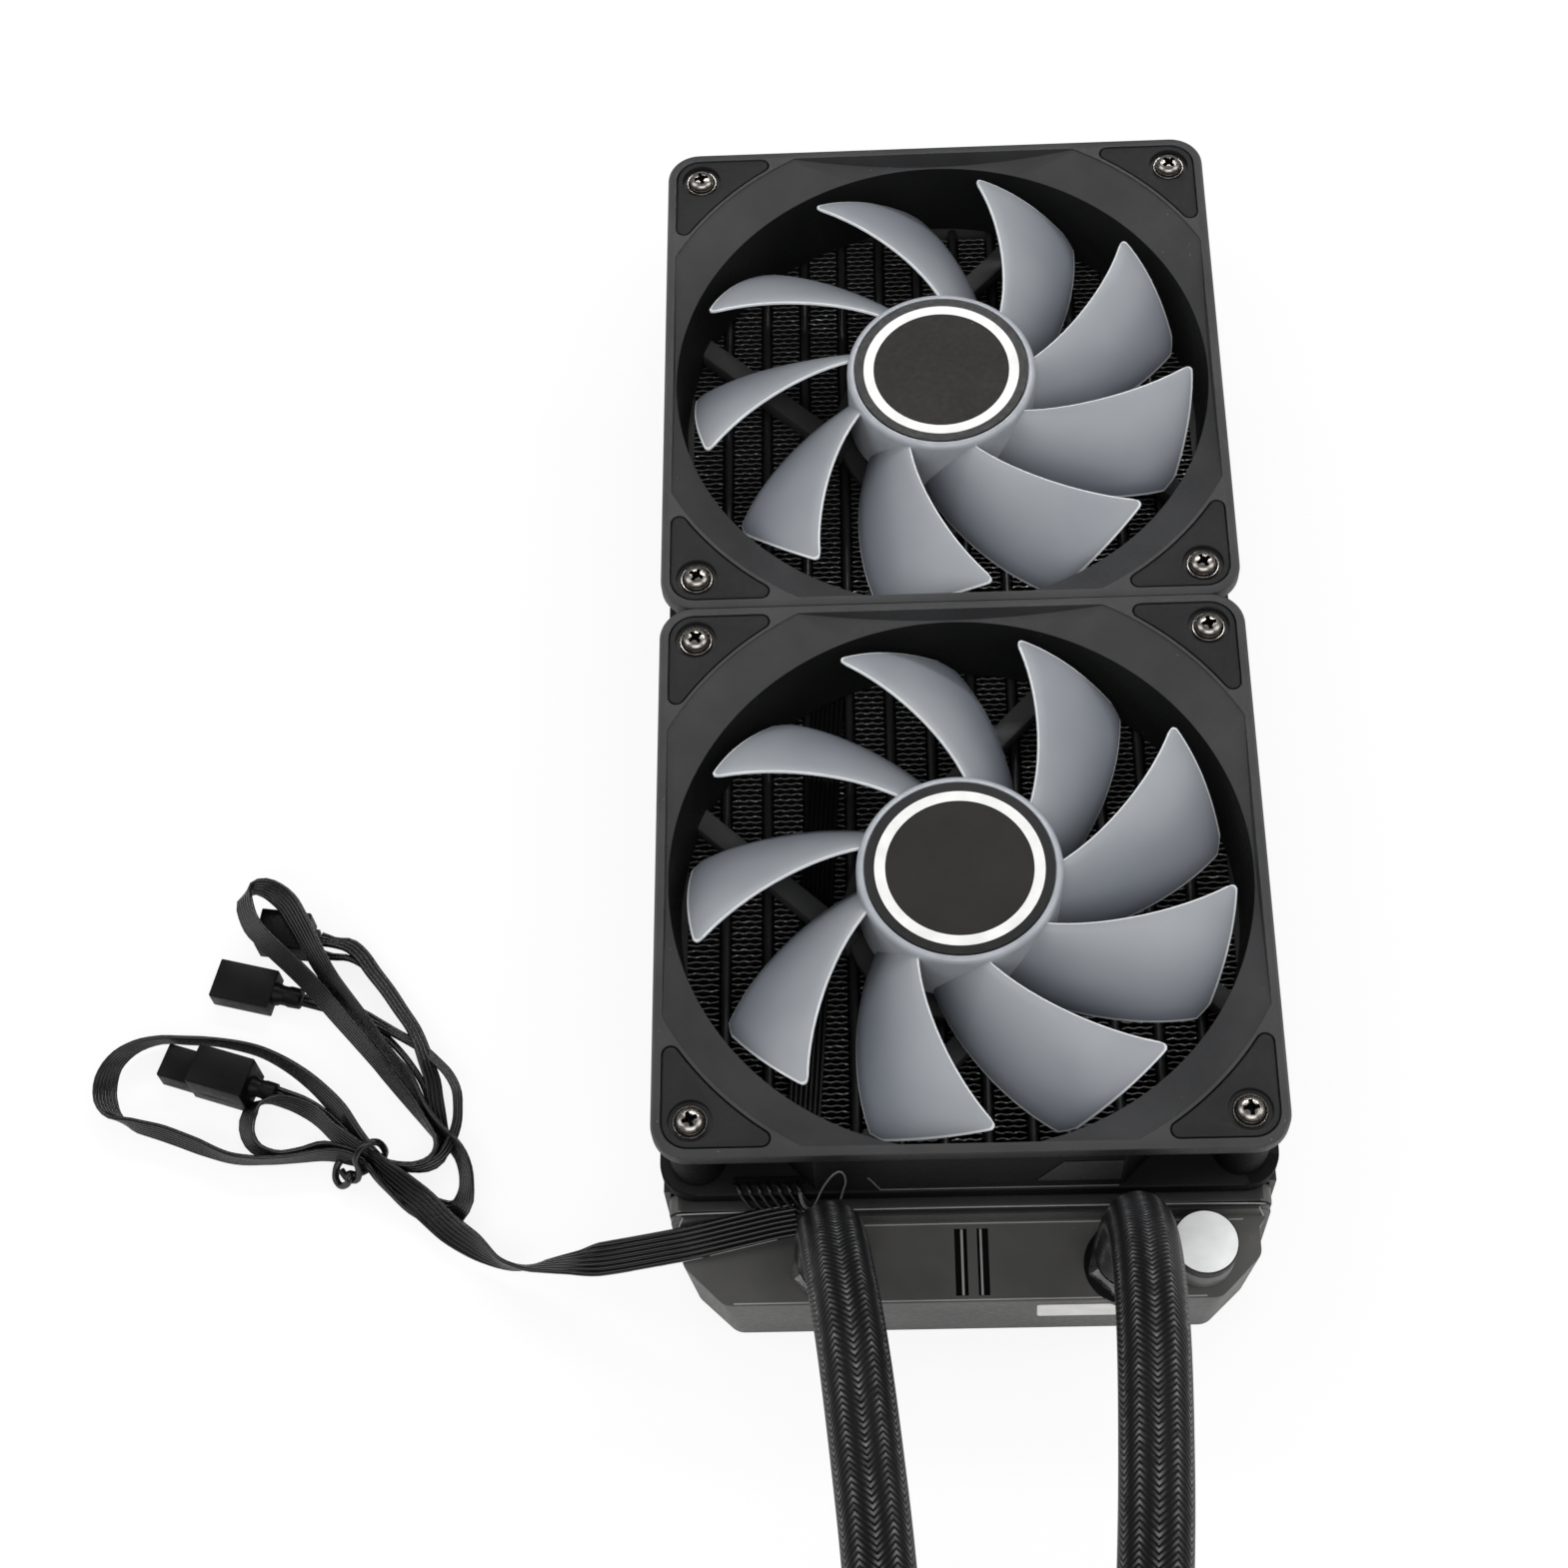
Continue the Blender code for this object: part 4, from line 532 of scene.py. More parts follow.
class Look:
    """A node material in the making: every helper adds nodes and hands back their output."""

    def __init__(self, name, colour, roughness, metallic=0.0, **sockets):
        self.material = bpy.data.materials.new(name)
        self.material.use_nodes = True
        self.tree = self.material.node_tree
        self.shader = self.tree.nodes["Principled BSDF"]
        self.shader.inputs["Base Color"].default_value = (*colour, 1.0)
        self.shader.inputs["Roughness"].default_value = roughness
        self.shader.inputs["Metallic"].default_value = metallic
        for name, value in sockets.items():
            self.shader.inputs[name.replace("_", " ")].default_value = value
        self.coords = None

    def node(self, kind, **inputs):
        """A node with its inputs set by number or plugged in by output."""
        node = self.tree.nodes.new(kind)
        for key, value in inputs.items():
            socket = node.inputs[key.replace("_", " ")]
            if isinstance(value, bpy.types.NodeSocket):
                self.tree.links.new(value, socket)
            else:
                socket.default_value = value
        return node

    def place(self, stretch=(1.0, 1.0, 1.0)):
        """Object coordinates, stretched or not."""
        if self.coords is None:
            self.coords = self.tree.nodes.new("ShaderNodeTexCoord").outputs["Object"]
        if stretch == (1.0, 1.0, 1.0):
            return self.coords
        return self.node("ShaderNodeMapping", Vector=self.coords, Scale=stretch).outputs["Vector"]

    def noise(self, scale, detail=2.0, stretch=(1.0, 1.0, 1.0), roughness=0.5):
        """Cloudy noise between 0 and 1."""
        return self.node("ShaderNodeTexNoise", Vector=self.place(stretch), Scale=scale, Detail=detail,
                         Roughness=roughness).outputs["Fac"]

    def math(self, operation, first, second=0.0, third=0.0):
        """One sum on numbers or outputs."""
        node = self.tree.nodes.new("ShaderNodeMath")
        node.operation = operation
        for socket, value in zip(node.inputs, (first, second, third)):
            if isinstance(value, bpy.types.NodeSocket):
                self.tree.links.new(value, socket)
            else:
                socket.default_value = value
        return node.outputs[0]

    def ramp(self, value, low, high, start=0.0, end=1.0):
        """A value moved from one range to another and kept in it."""
        node = self.node("ShaderNodeMapRange", Value=value, From_Min=low, From_Max=high, To_Min=start,
                         To_Max=end)
        return node.outputs["Result"]

    def mix(self, share, first, second):
        """Two colours mixed by a share."""
        node = self.tree.nodes.new("ShaderNodeMix")
        node.data_type = "RGBA"
        for socket, value in ((node.inputs[0], share), (node.inputs[6], first), (node.inputs[7], second)):
            if isinstance(value, bpy.types.NodeSocket):
                self.tree.links.new(value, socket)
            elif isinstance(value, tuple):
                socket.default_value = (*value, 1.0)
            else:
                socket.default_value = value
        return node.outputs[2]

    def plug(self, output, socket):
        """Feed one of the shader's sockets."""
        self.tree.links.new(output, self.shader.inputs[socket])

    def bump(self, height, depth_mm, strength=1.0):
        """Small relief; depth_mm is how high a value of one stands."""
        node = self.node("ShaderNodeBump", Height=height, Strength=strength, Distance=depth_mm * MM)
        before = self.shader.inputs["Normal"]
        if before.is_linked:
            self.tree.links.new(before.links[0].from_socket, node.inputs["Normal"])
        self.plug(node.outputs["Normal"], "Normal")

    def specks(self, scale, amount):
        """Tiny pale dots: 1 in the middle of a speck, 0 elsewhere."""
        cells = self.node("ShaderNodeTexVoronoi", Vector=self.place(), Scale=scale)
        close = self.ramp(cells.outputs["Distance"], 0.05, 0.12, 1.0, 0.0)
        chosen = self.node("ShaderNodeSeparateColor", Color=cells.outputs["Color"]).outputs["Red"]
        return self.math("MULTIPLY", close, self.math("LESS_THAN", chosen, amount))


def moulded_black(name, colour, roughness, grain=0.02, dust=0.02, gloss=0.35):
    """Black moulded plastic with fine grain, uneven sheen and a few specks of dust."""
    look = Look(name, colour, roughness, Specular_IOR_Level=gloss)
    cloud = look.noise(60.0, 3.0)
    dark, light = (tuple(share * c for c in colour) for share in (0.85, 1.2))
    base = look.mix(look.ramp(cloud, 0.3, 0.7), dark, light)
    if dust:
        base = look.mix(look.specks(700.0, dust), base, (0.16, 0.16, 0.16))
    look.plug(base, "Base Color")
    look.plug(look.ramp(look.noise(900.0, 2.0), 0.3, 0.7, roughness - 0.06, roughness + 0.06), "Roughness")
    look.bump(look.noise(4500.0, 2.0), grain)
    return look


def frosted_blade(name):
    """Frosted grey plastic, cooler and darker low down as painted shade, with a fine sandblasted grain."""
    look = Look(name, (0.25, 0.28, 0.33), 0.38, Specular_IOR_Level=0.45)
    # Painted shade: the colour darkens from the blade's upper part towards the bottom of the fan.
    height = look.node("ShaderNodeSeparateXYZ", Vector=look.place()).outputs["Z"]
    share = look.ramp(height, 0.034, 0.0515)
    cloud = look.ramp(look.noise(45.0, 2.0), 0.35, 0.65, -0.12, 0.12)
    share = look.math("ADD", share, cloud)
    base = look.mix(share, (0.15, 0.167, 0.2), (0.295, 0.31, 0.33))
    look.plug(base, "Base Color")
    look.bump(look.noise(5200.0, 2.0), 0.012)
    return look


def braided_sleeve(name):
    """Woven sleeve: bands of strands leaning by turns left and right, with painted highlights as pale teeth
    where they meet and painted shade in the hollows between strands.
    """
    look = Look(name, (0.014, 0.014, 0.015), 0.42, Specular_IOR_Level=0.12)
    uv = look.tree.nodes.new("ShaderNodeUVMap")
    uv.uv_map = "along"
    parts = look.node("ShaderNodeSeparateXYZ", Vector=uv.outputs["UV"])
    around = look.math("FRACT", look.math("MULTIPLY", parts.outputs["X"], 6.0))
    zigzag = look.math("ABSOLUTE", look.math("SUBTRACT", look.math("MULTIPLY", around, 2.0), 1.0))
    along = look.math("MULTIPLY", parts.outputs["Y"], 1.0 / 0.00108)
    phase = look.math("ADD", along, look.math("MULTIPLY", zigzag, 2.6))
    centred = look.math("SUBTRACT", look.math("MULTIPLY", look.math("FRACT", phase), 2.0), 1.0)
    ridge = look.math("SUBTRACT", 1.0, look.math("POWER", look.math("ABSOLUTE", centred), 2.0))
    seam = look.math("ABSOLUTE", look.math("SUBTRACT", look.math("MULTIPLY", zigzag, 2.0), 1.0))
    seam = look.math("POWER", seam, 2.4)
    swell = look.math("ADD", 0.2, look.math("MULTIPLY", seam, 0.8))
    look.bump(look.math("MULTIPLY", ridge, swell), 0.24)
    look.bump(look.noise(3000.0, 2.0), 0.02)
    # Painted highlight: pale teeth at the seams, patchy along the hose; painted shade: strand hollows a touch
    # darker than their crowns.
    glint_patchiness = look.ramp(look.noise(700.0, 2.0), 0.35, 0.65, 0.25, 1.0)
    teeth = look.math("MULTIPLY", look.math("MULTIPLY", look.ramp(ridge, 0.5, 0.95), seam), glint_patchiness)
    look.plug(look.mix(teeth, look.mix(ridge, (0.002, 0.002, 0.002), (0.0055, 0.0055, 0.006)),
                       (0.17, 0.17, 0.174)), "Base Color")
    return look


def brushed_metal(name, colour, roughness, scale=2500.0):
    """Plated or bare metal with faint turning marks."""
    look = Look(name, colour, roughness, 1.0)
    marks = look.noise(scale, 3.0)
    look.plug(look.ramp(marks, 0.3, 0.7, roughness - 0.04, roughness + 0.05), "Roughness")
    look.bump(marks, 0.001)
    cloud = look.noise(300.0, 2.0)
    base = look.mix(look.ramp(cloud, 0.35, 0.65), tuple(0.9 * c for c in colour), colour)
    look.plug(base, "Base Color")
    return look


def fin_metal(name):
    """Thin black-coated fins with painted light: paler along their top edges, with painted glints in beads
    along them.
    """
    look = Look(name, (0.012, 0.012, 0.013), 0.4, Specular_IOR_Level=0.4)
    high = look.node("ShaderNodeSeparateXYZ", Vector=look.place()).outputs["Z"]
    # Painted light: the top edges take a paler colour, and bright metallic beads along them stand for glints.
    edge = look.ramp(high, 0.02505, 0.02515)
    beads = look.ramp(look.noise(1300.0, 1.0, (1.0, 0.5, 0.0)), 0.6, 0.68)
    top = look.mix(beads, (0.12, 0.12, 0.12), (0.6, 0.6, 0.6))
    look.plug(look.mix(edge, (0.01, 0.01, 0.0105), top), "Base Color")
    look.plug(look.math("MULTIPLY", look.math("MULTIPLY", beads, edge), 0.5), "Metallic")
    return look


def plain_plastic(name, colour, roughness, grain=0.006, variation=0.08, **sockets):
    """Plastic or paper of one colour with faint clouding and grain."""
    look = Look(name, colour, roughness, **sockets)
    cloud = look.ramp(look.noise(220.0, 3.0), 0.3, 0.7)
    dark = tuple(c * (1.0 - variation) for c in colour)
    light = tuple(min(1.0, c * (1.0 + variation)) for c in colour)
    look.plug(look.mix(cloud, dark, light), "Base Color")
    look.bump(look.noise(3800.0, 2.0), grain)
    return look


def wound_copper(name):
    """Enamelled wire wound in layers."""
    look = Look(name, (0.42, 0.17, 0.06), 0.32, 0.85)
    turns = look.node("ShaderNodeTexWave", Vector=look.place(), Scale=700.0, Distortion=0.6)
    turns.wave_type = "BANDS"
    turns.bands_direction = "Z"
    look.bump(turns.outputs["Fac"], 0.12)
    look.plug(look.mix(turns.outputs["Fac"], (0.2, 0.07, 0.02), (0.5, 0.22, 0.08)), "Base Color")
    return look


LOOKS = {
    "frame": moulded_black("frame_plastic", (0.036, 0.0362, 0.0375), 0.5, 0.02, 0.05, 0.3),
    # Painted light and shade on the frame's one black plastic: duct, flange_side and panel are darker copies
    # as painted shade (panel a half-shade), rim a lighter copy as painted light, bead a pale painted
    # highlight.
    "duct": moulded_black("painted_shade_plastic", (0.0075, 0.0076, 0.008), 0.55, 0.02, 0.02, 0.15),
    "rim": moulded_black("rim_painted_light", (0.058, 0.058, 0.0595), 0.5, 0.02, 0.05, 0.3),
    "flange_side": moulded_black("flange_side_painted_shade", (0.017, 0.0172, 0.018), 0.5, 0.02, 0.05, 0.3),
    "panel": moulded_black("panel_painted_half_shade", (0.026, 0.0262, 0.027), 0.5, 0.02, 0.02, 0.3),
    "bead": moulded_black("bead_painted_highlight", (0.11, 0.11, 0.112), 0.45, 0.0, 0.0, 0.3),
    "pad": moulded_black("pad_rubber", (0.013, 0.0131, 0.0135), 0.6, 0.03, 0.012, 0.25),
    "tank": moulded_black("tank_paint", (0.076, 0.0745, 0.0725), 0.42, 0.02, 0.03, 0.3),
    # Painted highlight: pale lines along the tank's ribs, folds and edges.
    "tank_edge": moulded_black("tank_painted_highlight", (0.27, 0.27, 0.265), 0.4, 0.0, 0.0, 0.3),
    "rail": moulded_black("rail_paint", (0.02, 0.02, 0.0205), 0.4, 0.01, 0.0, 0.3),
    "collar": moulded_black("collar_rubber", (0.012, 0.012, 0.012), 0.5, 0.012, 0.0, 0.25),
    # Painted shade: near-black for the frame's posts, corners and lower flange, the screws' cross recesses
    # and lock rings, and the tank's grooves and port bosses.
    "recess": moulded_black("painted_shade_black", (0.003, 0.003, 0.003), 0.6, 0.0, 0.0, 0.1),
    "connector": moulded_black("connector_plastic", (0.0035, 0.0035, 0.0037), 0.4, 0.012, 0.006, 0.14),
    "lead": plain_plastic("lead_insulation", (0.004, 0.004, 0.0042), 0.26, 0.0, 0.0, Specular_IOR_Level=0.5),
    # The loose wire's grey is its own dark grey lifted by a painted highlight.
    "grey_wire": plain_plastic("grey_wire_part_highlight", (0.16, 0.16, 0.165), 0.3),
    # Painted highlight: white along the fan lead's edge wire.
    "lead_highlight": plain_plastic("lead_painted_highlight", (0.5, 0.5, 0.51), 0.4),
    "pump": moulded_black("pump_plastic", (0.03, 0.03, 0.0315), 0.4, 0.012, 0.01),
    "blade": frosted_blade("frosted_blade"),
    # Painted highlight: pale colour along the blade edges.
    "blade_rim_highlight": plain_plastic("blade_rim_highlight", (0.6, 0.62, 0.63), 0.35),
    "hub": plain_plastic("hub_plastic", (0.33, 0.35, 0.38), 0.3),
    "hub_disc": moulded_black("hub_disc_black", (0.01, 0.01, 0.01), 0.36, 0.004, 0.0, 0.3),
    "hub_ring": plain_plastic("hub_ring_white", (0.72, 0.72, 0.71), 0.35),
    "hub_sticker": moulded_black("hub_sticker_brown", (0.017, 0.0156, 0.0147), 0.5, 0.004, 0.004, 0.2),
    "fins": fin_metal("fin_metal"),
    "tubes": moulded_black("tube_coating", (0.017, 0.017, 0.018), 0.36, 0.006, 0.0, 0.5),
    "braid": braided_sleeve("braided_sleeve"),
    "screw": brushed_metal("screw_nickel", (0.42, 0.39, 0.36), 0.27),
    "steel": brushed_metal("nut_steel", (0.72, 0.71, 0.7), 0.22),
    # Painted shade: a darkened copy of steel for the port fittings.
    "shaded_steel": brushed_metal("nut_painted_shade", (0.12, 0.12, 0.12), 0.3),
    "copper": brushed_metal("plate_copper", (0.8, 0.42, 0.28), 0.25),
    "bronze": brushed_metal("bearing_bronze", (0.45, 0.3, 0.12), 0.4),
    "ferrite": plain_plastic("magnet_ferrite", (0.05, 0.05, 0.052), 0.55),
    "winding": wound_copper("winding_copper"),
    "label": plain_plastic("label_white", (0.72, 0.71, 0.69), 0.5),
    "cap_top": plain_plastic("cap_disc_white", (0.95, 0.96, 0.965), 0.3),
    "cap_body": plain_plastic("cap_body_grey", (0.095, 0.094, 0.092), 0.4),
}
MATERIALS = {key: look.material for key, look in LOOKS.items()}


# Cords and the pieces on them

def normals_between(turns, knots, shares):
    """Face direction of a flat lead at every step, from an azimuth and a tilt at each knot."""
    walked = [0.0]
    for first, second in zip(knots, knots[1:]):
        walked.append(walked[-1] + (Vector(second) - Vector(first)).length)
    known = []
    for azimuth, tilt in turns:
        flat, up = math.sin(math.radians(tilt)), math.cos(math.radians(tilt))
        x, y = polar(flat, azimuth)
        known.append((x, y, up))
    places = [w / walked[-1] for w in walked]
    columns = [np.interp(shares, places, [point[axis] for point in known]) for axis in range(3)]
    return [Vector(place).normalized() for place in zip(*columns)]


def lead_section(wires, pitch, radius):
    """Outline of parallel round wires moulded side by side."""
    points = []
    for side in (1, -1):
        for number in range(wires):
            centre = ((wires - 1) / 2 - number) * pitch * side
            for step in range(6):
                x, y = polar(radius, 8 + 32.8 * step)
                points.append((centre + x * side, y * side))
    return points


HOSE_ROUTES = {
    "left": [
        (-27.0, -132.5, 33.8), (-27.0, -132.5, 38.0), (-26.8, -132.5, 43.0), (-25.7, -138.0, 58.0),
        (-24.1, -148.5, 70.0),
        (-21.9, -164.0, 78.0), (-19.8, -183.0, 80.0), (-18.0, -203.0, 79.0), (-16.1, -235.0, 73.0),
        (-14.8, -270.0, 61.0), (-14.0, -305.0, 47.0), (-13.3, -340.0, 34.0), (-13.0, -375.0, 25.0),
        (-13.0, -405.0, 20.8), (-13.0, -432.7, 20.0),
    ],
    "right": [
        (30.0, -132.5, 33.8), (30.0, -132.5, 38.0), (30.0, -132.5, 43.0), (29.8, -137.5, 60.0),
        (29.4, -148.0, 75.0),
        (28.7, -164.0, 85.5), (27.6, -183.0, 89.5), (26.2, -203.0, 89.5), (23.5, -235.0, 83.0),
        (20.5, -270.0, 69.0), (17.5, -305.0, 52.0), (15.0, -340.0, 36.5), (13.4, -375.0, 25.5),
        (13.0, -405.0, 20.8), (13.0, -432.7, 20.0),
    ],
}

# Flat leads: place, then the azimuth and tilt of the side that faces out
FAN_LEAD = [
    (-33.6, -123.7, 27.2, 90, 158), (-38.0, -124.3, 26.8, 90, 158), (-46.0, -125.9, 26.2, 90, 158),
    (-54.3, -127.4, 25.0, 90, 155), (-60.5, -127.9, 23.2, 90, 153), (-67.0, -127.9, 20.0, 90, 158),
    (-73.0, -127.5, 16.2, 90, 170), (-78.5, -127.0, 13.0, 304, 139), (-86.2, -126.3, 9.0, 281, 119),
    (-89.1, -126.0, 7.5, 264, 107), (-93.9, -124.6, 6.0, 244, 91), (-99.7, -120.7, 5.0, 231, 54),
    (-105.4, -116.6, 4.6, 229, 37), (-111.2, -111.2, 4.8, 233, 31), (-116.9, -106.6, 5.3, 235, 40),
    (-121.2, -102.8, 5.8, 224, 58), (-125.5, -97.1, 6.0, 216, 61), (-128.7, -92.2, 6.0, 216, 63),
    (-132.5, -87.8, 5.6, 223, 70), (-137.0, -83.6, 5.2, 230, 77), (-142.6, -79.6, 4.8, 239, 85),
    (-148.7, -76.6, 4.6, 251, 93), (-157.0, -74.6, 4.4, 261, 100), (-164.1, -74.0, 4.4, 266, 101),
    (-169.4, -73.8, 4.4, 277, 103), (-174.5, -75.2, 4.2, 298, 96), (-178.3, -78.4, 4.0, 325, 82),
    (-179.9, -82.9, 3.8, 352, 62), (-179.5, -87.2, 3.8, 18, 56), (-177.4, -90.5, 3.8, 49, 68),
    (-173.4, -92.5, 3.9, 69, 93), (-166.2, -94.7, 3.9, 71, 101), (-159.1, -97.5, 3.9, 69, 100),
    (-152.0, -100.2, 3.8, 76, 88), (-145.7, -100.9, 3.8, 88, 81), (-139.4, -100.7, 3.8, 94, 81),
    (-133.1, -100.1, 4.0, 91, 87), (-128.4, -100.6, 4.4, 76, 95), (-123.6, -102.4, 4.4, 61, 90),
    (-118.2, -106.2, 3.4, 48, 50), (-112.4, -110.4, 1.8, 48, 26), (-106.4, -112.6, 1.0, 90, 14),
    (-103.5, -111.2, 1.8, 150, 36), (-102.5, -107.6, 2.9, 183, 58), (-102.9, -103.4, 3.4, 197, 65),
    (-104.7, -99.4, 3.6, 215, 73), (-108.0, -96.0, 3.8, 222, 76), (-111.9, -91.2, 3.9, 213, 73),
    (-115.4, -84.2, 4.6, 214, 75), (-119.0, -79.9, 5.2, 220, 77), (-122.7, -75.2, 5.8, 220, 76),
    (-125.3, -71.7, 6.6, 220, 73), (-132.0, -63.4, 7.6, 221, 66), (-135.2, -58.8, 8.6, 217, 58),
    (-138.1, -53.6, 9.3, 213, 53), (-142.0, -46.8, 9.8, 215, 48), (-144.2, -44.1, 9.9, 228, 55),
    (-147.0, -42.1, 10.0, 244, 65), (-149.6, -41.4, 10.0, 269, 85), (-151.6, -42.0, 10.0, 311, 110),
    (-152.5, -43.9, 10.0, 353, 128), (-152.1, -46.2, 10.0, 18, 128), (-150.7, -49.6, 9.9, 31, 124),
    (-148.7, -52.1, 9.8, 44, 118), (-145.2, -55.6, 9.4, 49, 116), (-141.5, -59.0, 8.8, 50, 116),
    (-135.6, -64.8, 7.6, 48, 116), (-132.2, -68.6, 6.8, 43, 116), (-123.1, -79.1, 6.2, 42, 110),
    (-120.2, -82.7, 5.6, 42, 107), (-117.3, -86.2, 5.0, 42, 105), (-114.4, -89.7, 4.4, 40, 102),
    (-111.6, -93.4, 3.9, 37, 94), (-109.3, -96.6, 3.9, 27, 89), (-108.6, -99.2, 3.9, 349, 98),
    (-110.4, -101.9, 3.6, 306, 106), (-113.7, -102.6, 2.9, 276, 106), (-117.5, -102.5, 2.9, 262, 104),
    (-121.4, -101.6, 3.4, 255, 95), (-126.9, -100.0, 3.8, 254, 83), (-132.2, -98.5, 3.6, 266, 87),
    (-136.7, -99.3, 3.5, 278, 95), (-141.3, -99.8, 3.4, 267, 98), (-145.3, -98.9, 3.4, 242, 86),
    (-148.2, -96.2, 3.3, 211, 65), (-149.2, -92.5, 3.3, 182, 50), (-148.4, -89.5, 3.4, 150, 47),
    (-146.3, -88.1, 3.6, 108, 66), (-142.8, -87.9, 3.8, 81, 90), (-138.5, -89.3, 4.2, 65, 101),
    (-134.2, -91.8, 4.6, 50, 109), (-130.3, -95.7, 5.4, 46, 109), (-126.3, -98.8, 5.7, 51, 111),
    (-121.1, -102.9, 5.7, 52, 119), (-116.9, -106.6, 5.2, 55, 140), (-113.6, -109.3, 4.9, 57, 146),
]
POWER_LEAD = [
    (-128.4, -92.7, 5.9, 214, 62), (-125.3, -97.3, 5.9, 214, 61), (-122.4, -101.2, 6.2, 227, 66),
    (-120.2, -102.4, 5.2, 258, 80), (-117.0, -102.8, 4.0, 268, 87), (-113.7, -102.8, 3.0, 278, 81),
    (-110.6, -102.1, 2.7, 296, 63), (-108.6, -100.4, 2.9, 320, 45), (-107.9, -97.9, 3.3, 345, 29),
    (-108.6, -94.9, 3.7, 353, 25), (-109.2, -91.4, 4.3, 353, 26), (-109.8, -88.0, 4.7, 360, 33),
    (-110.4, -84.5, 5.1, 5, 36), (-111.8, -80.8, 5.7, 16, 39), (-113.3, -76.6, 5.6, 29, 42),
    (-115.4, -72.3, 4.8, 40, 40), (-118.1, -68.3, 4.2, 41, 37), (-121.3, -63.5, 3.8, 40, 32),
    (-124.8, -58.9, 3.6, 38, 27), (-127.6, -55.0, 3.7, 39, 25), (-130.4, -52.6, 3.8, 60, 20),
    (-133.6, -51.9, 3.8, 86, 40), (-137.0, -50.8, 3.5, 90, 20),
]
LIGHT_LEAD = [
    (-128.1, -93.3, 5.9, 214, 62), (-125.1, -97.7, 5.9, 216, 62), (-121.8, -101.4, 6.4, 232, 72),
    (-118.0, -103.2, 5.8, 257, 83), (-113.0, -103.6, 5.0, 279, 84), (-108.8, -101.9, 4.6, 301, 75),
    (-106.8, -99.9, 5.0, 320, 67), (-105.6, -97.6, 5.4, 337, 65), (-104.7, -94.2, 5.6, 352, 65),
    (-104.7, -90.6, 5.6, 4, 64), (-105.2, -86.9, 5.6, 19, 58), (-107.2, -83.1, 5.4, 39, 50),
    (-110.0, -80.1, 5.0, 51, 46), (-113.0, -77.2, 4.4, 60, 44), (-116.1, -74.9, 3.6, 67, 40),
    (-119.9, -72.5, 3.0, 66, 38), (-123.6, -70.2, 2.7, 65, 31), (-127.3, -68.1, 2.5, 60, 14),
    (-131.5, -67.0, 2.4, 60, 5), (-139.7, -64.6, 2.6, 60, 0),
]
TAIL_LEAD = [
    (-116.9, -106.8, 5.1, 233, 39), (-121.2, -103.0, 5.5, 226, 60), (-125.4, -98.6, 5.2, 223, 66),
    (-129.2, -94.6, 5.2, 230, 66), (-133.0, -91.4, 5.4, 234, 58), (-137.0, -89.0, 5.4, 240, 45),
    (-141.0, -87.4, 5.2, 250, 30), (-144.6, -86.0, 5.0, 260, 20),
]
# The second pair of wires beside the power lead and beside the light lead
POWER_PAIR = [
    (-138.0, -53.2, 3.0, 90, 10), (-134.4, -54.9, 3.3, 80, 20), (-130.4, -55.5, 3.6, 70, 35),
    (-127.0, -57.4, 3.6, 50, 50), (-124.4, -59.8, 3.3, 42, 60), (-121.6, -63.6, 3.4, 36, 66),
]
LIGHT_PAIR = [
    (-132.5, -67.3, 2.0, 60, 5), (-128.4, -68.7, 2.1, 60, 15), (-125.1, -70.4, 2.2, 56, 25),
    (-121.3, -73.5, 2.3, 50, 40), (-117.9, -77.1, 2.5, 44, 50), (-115.2, -80.6, 2.6, 36, 55),
    (-112.8, -84.4, 2.8, 28, 55), (-111.0, -88.8, 3.0, 15, 50), (-109.4, -93.6, 2.8, 5, 50),
    (-108.8, -98.0, 2.4, 350, 55), (-110.2, -101.2, 2.0, 300, 70), (-114.4, -102.5, 1.8, 270, 80),
    (-119.4, -102.4, 2.4, 262, 80), (-123.4, -101.2, 3.2, 255, 80),
]
TIE_ROUTE = [
    (-128.7, -103.2, 3.2), (-127.2, -105.0, 3.0), (-125.2, -105.5, 3.6), (-124.4, -104.2, 6.0),
    (-124.7, -102.9, 8.6), (-123.4, -101.4, 10.7), (-121.5, -100.4, 11.4), (-119.9, -100.0, 10.4),
    (-119.2, -100.2, 7.6), (-119.6, -100.2, 4.2), (-121.0, -100.8, 1.6), (-123.5, -102.3, 0.95),
    (-125.7, -103.7, 1.8), (-126.7, -104.3, 4.0), (-126.5, -105.3, 4.6), (-127.3, -106.2, 3.0),
    (-128.9, -106.0, 1.6), (-130.1, -104.3, 1.2), (-130.0, -102.0, 1.6), (-129.2, -100.8, 2.2),
]
LOOSE_WIRE = [
    (-32.6, -120.6, 32.8), (-32.2, -121.4, 29.4), (-31.4, -121.6, 27.6), (-30.0, -121.2, 28.2),
    (-28.3, -120.6, 35.2), (-26.7, -120.2, 40.1), (-25.5, -120.0, 42.6), (-24.5, -119.9, 43.1),
    (-23.8, -119.8, 40.2), (-23.8, -119.8, 36.0), (-24.3, -119.9, 32.6), (-24.9, -120.2, 28.6),
]


def make_hose(side):
    """One braided hose, flared over its root on the tank, out to the pump head."""
    route, _, length = smooth_route(HOSE_ROUTES[side], HOSE_STEP)
    section = [polar(HOSE_R, 360 * i / 48) for i in range(48)]
    count = len(route)
    facings = []
    for i in range(count):
        ahead = route[min(i + 1, count - 1)] - route[max(i - 1, 0)]
        facings.append(Vector((1.0, 0.0, 0.0)).cross(ahead))
    sizes = [1.0 + FLARE * max(0.0, 1.0 - i * HOSE_STEP / FLARE_LENGTH) ** 1.5 for i in range(count)]
    hose = sweep(f"{side}_braided_hose", route, section, facings, sizes)
    settle(hose, MATERIALS["braid"], replaces=[f"{side}_hose"])


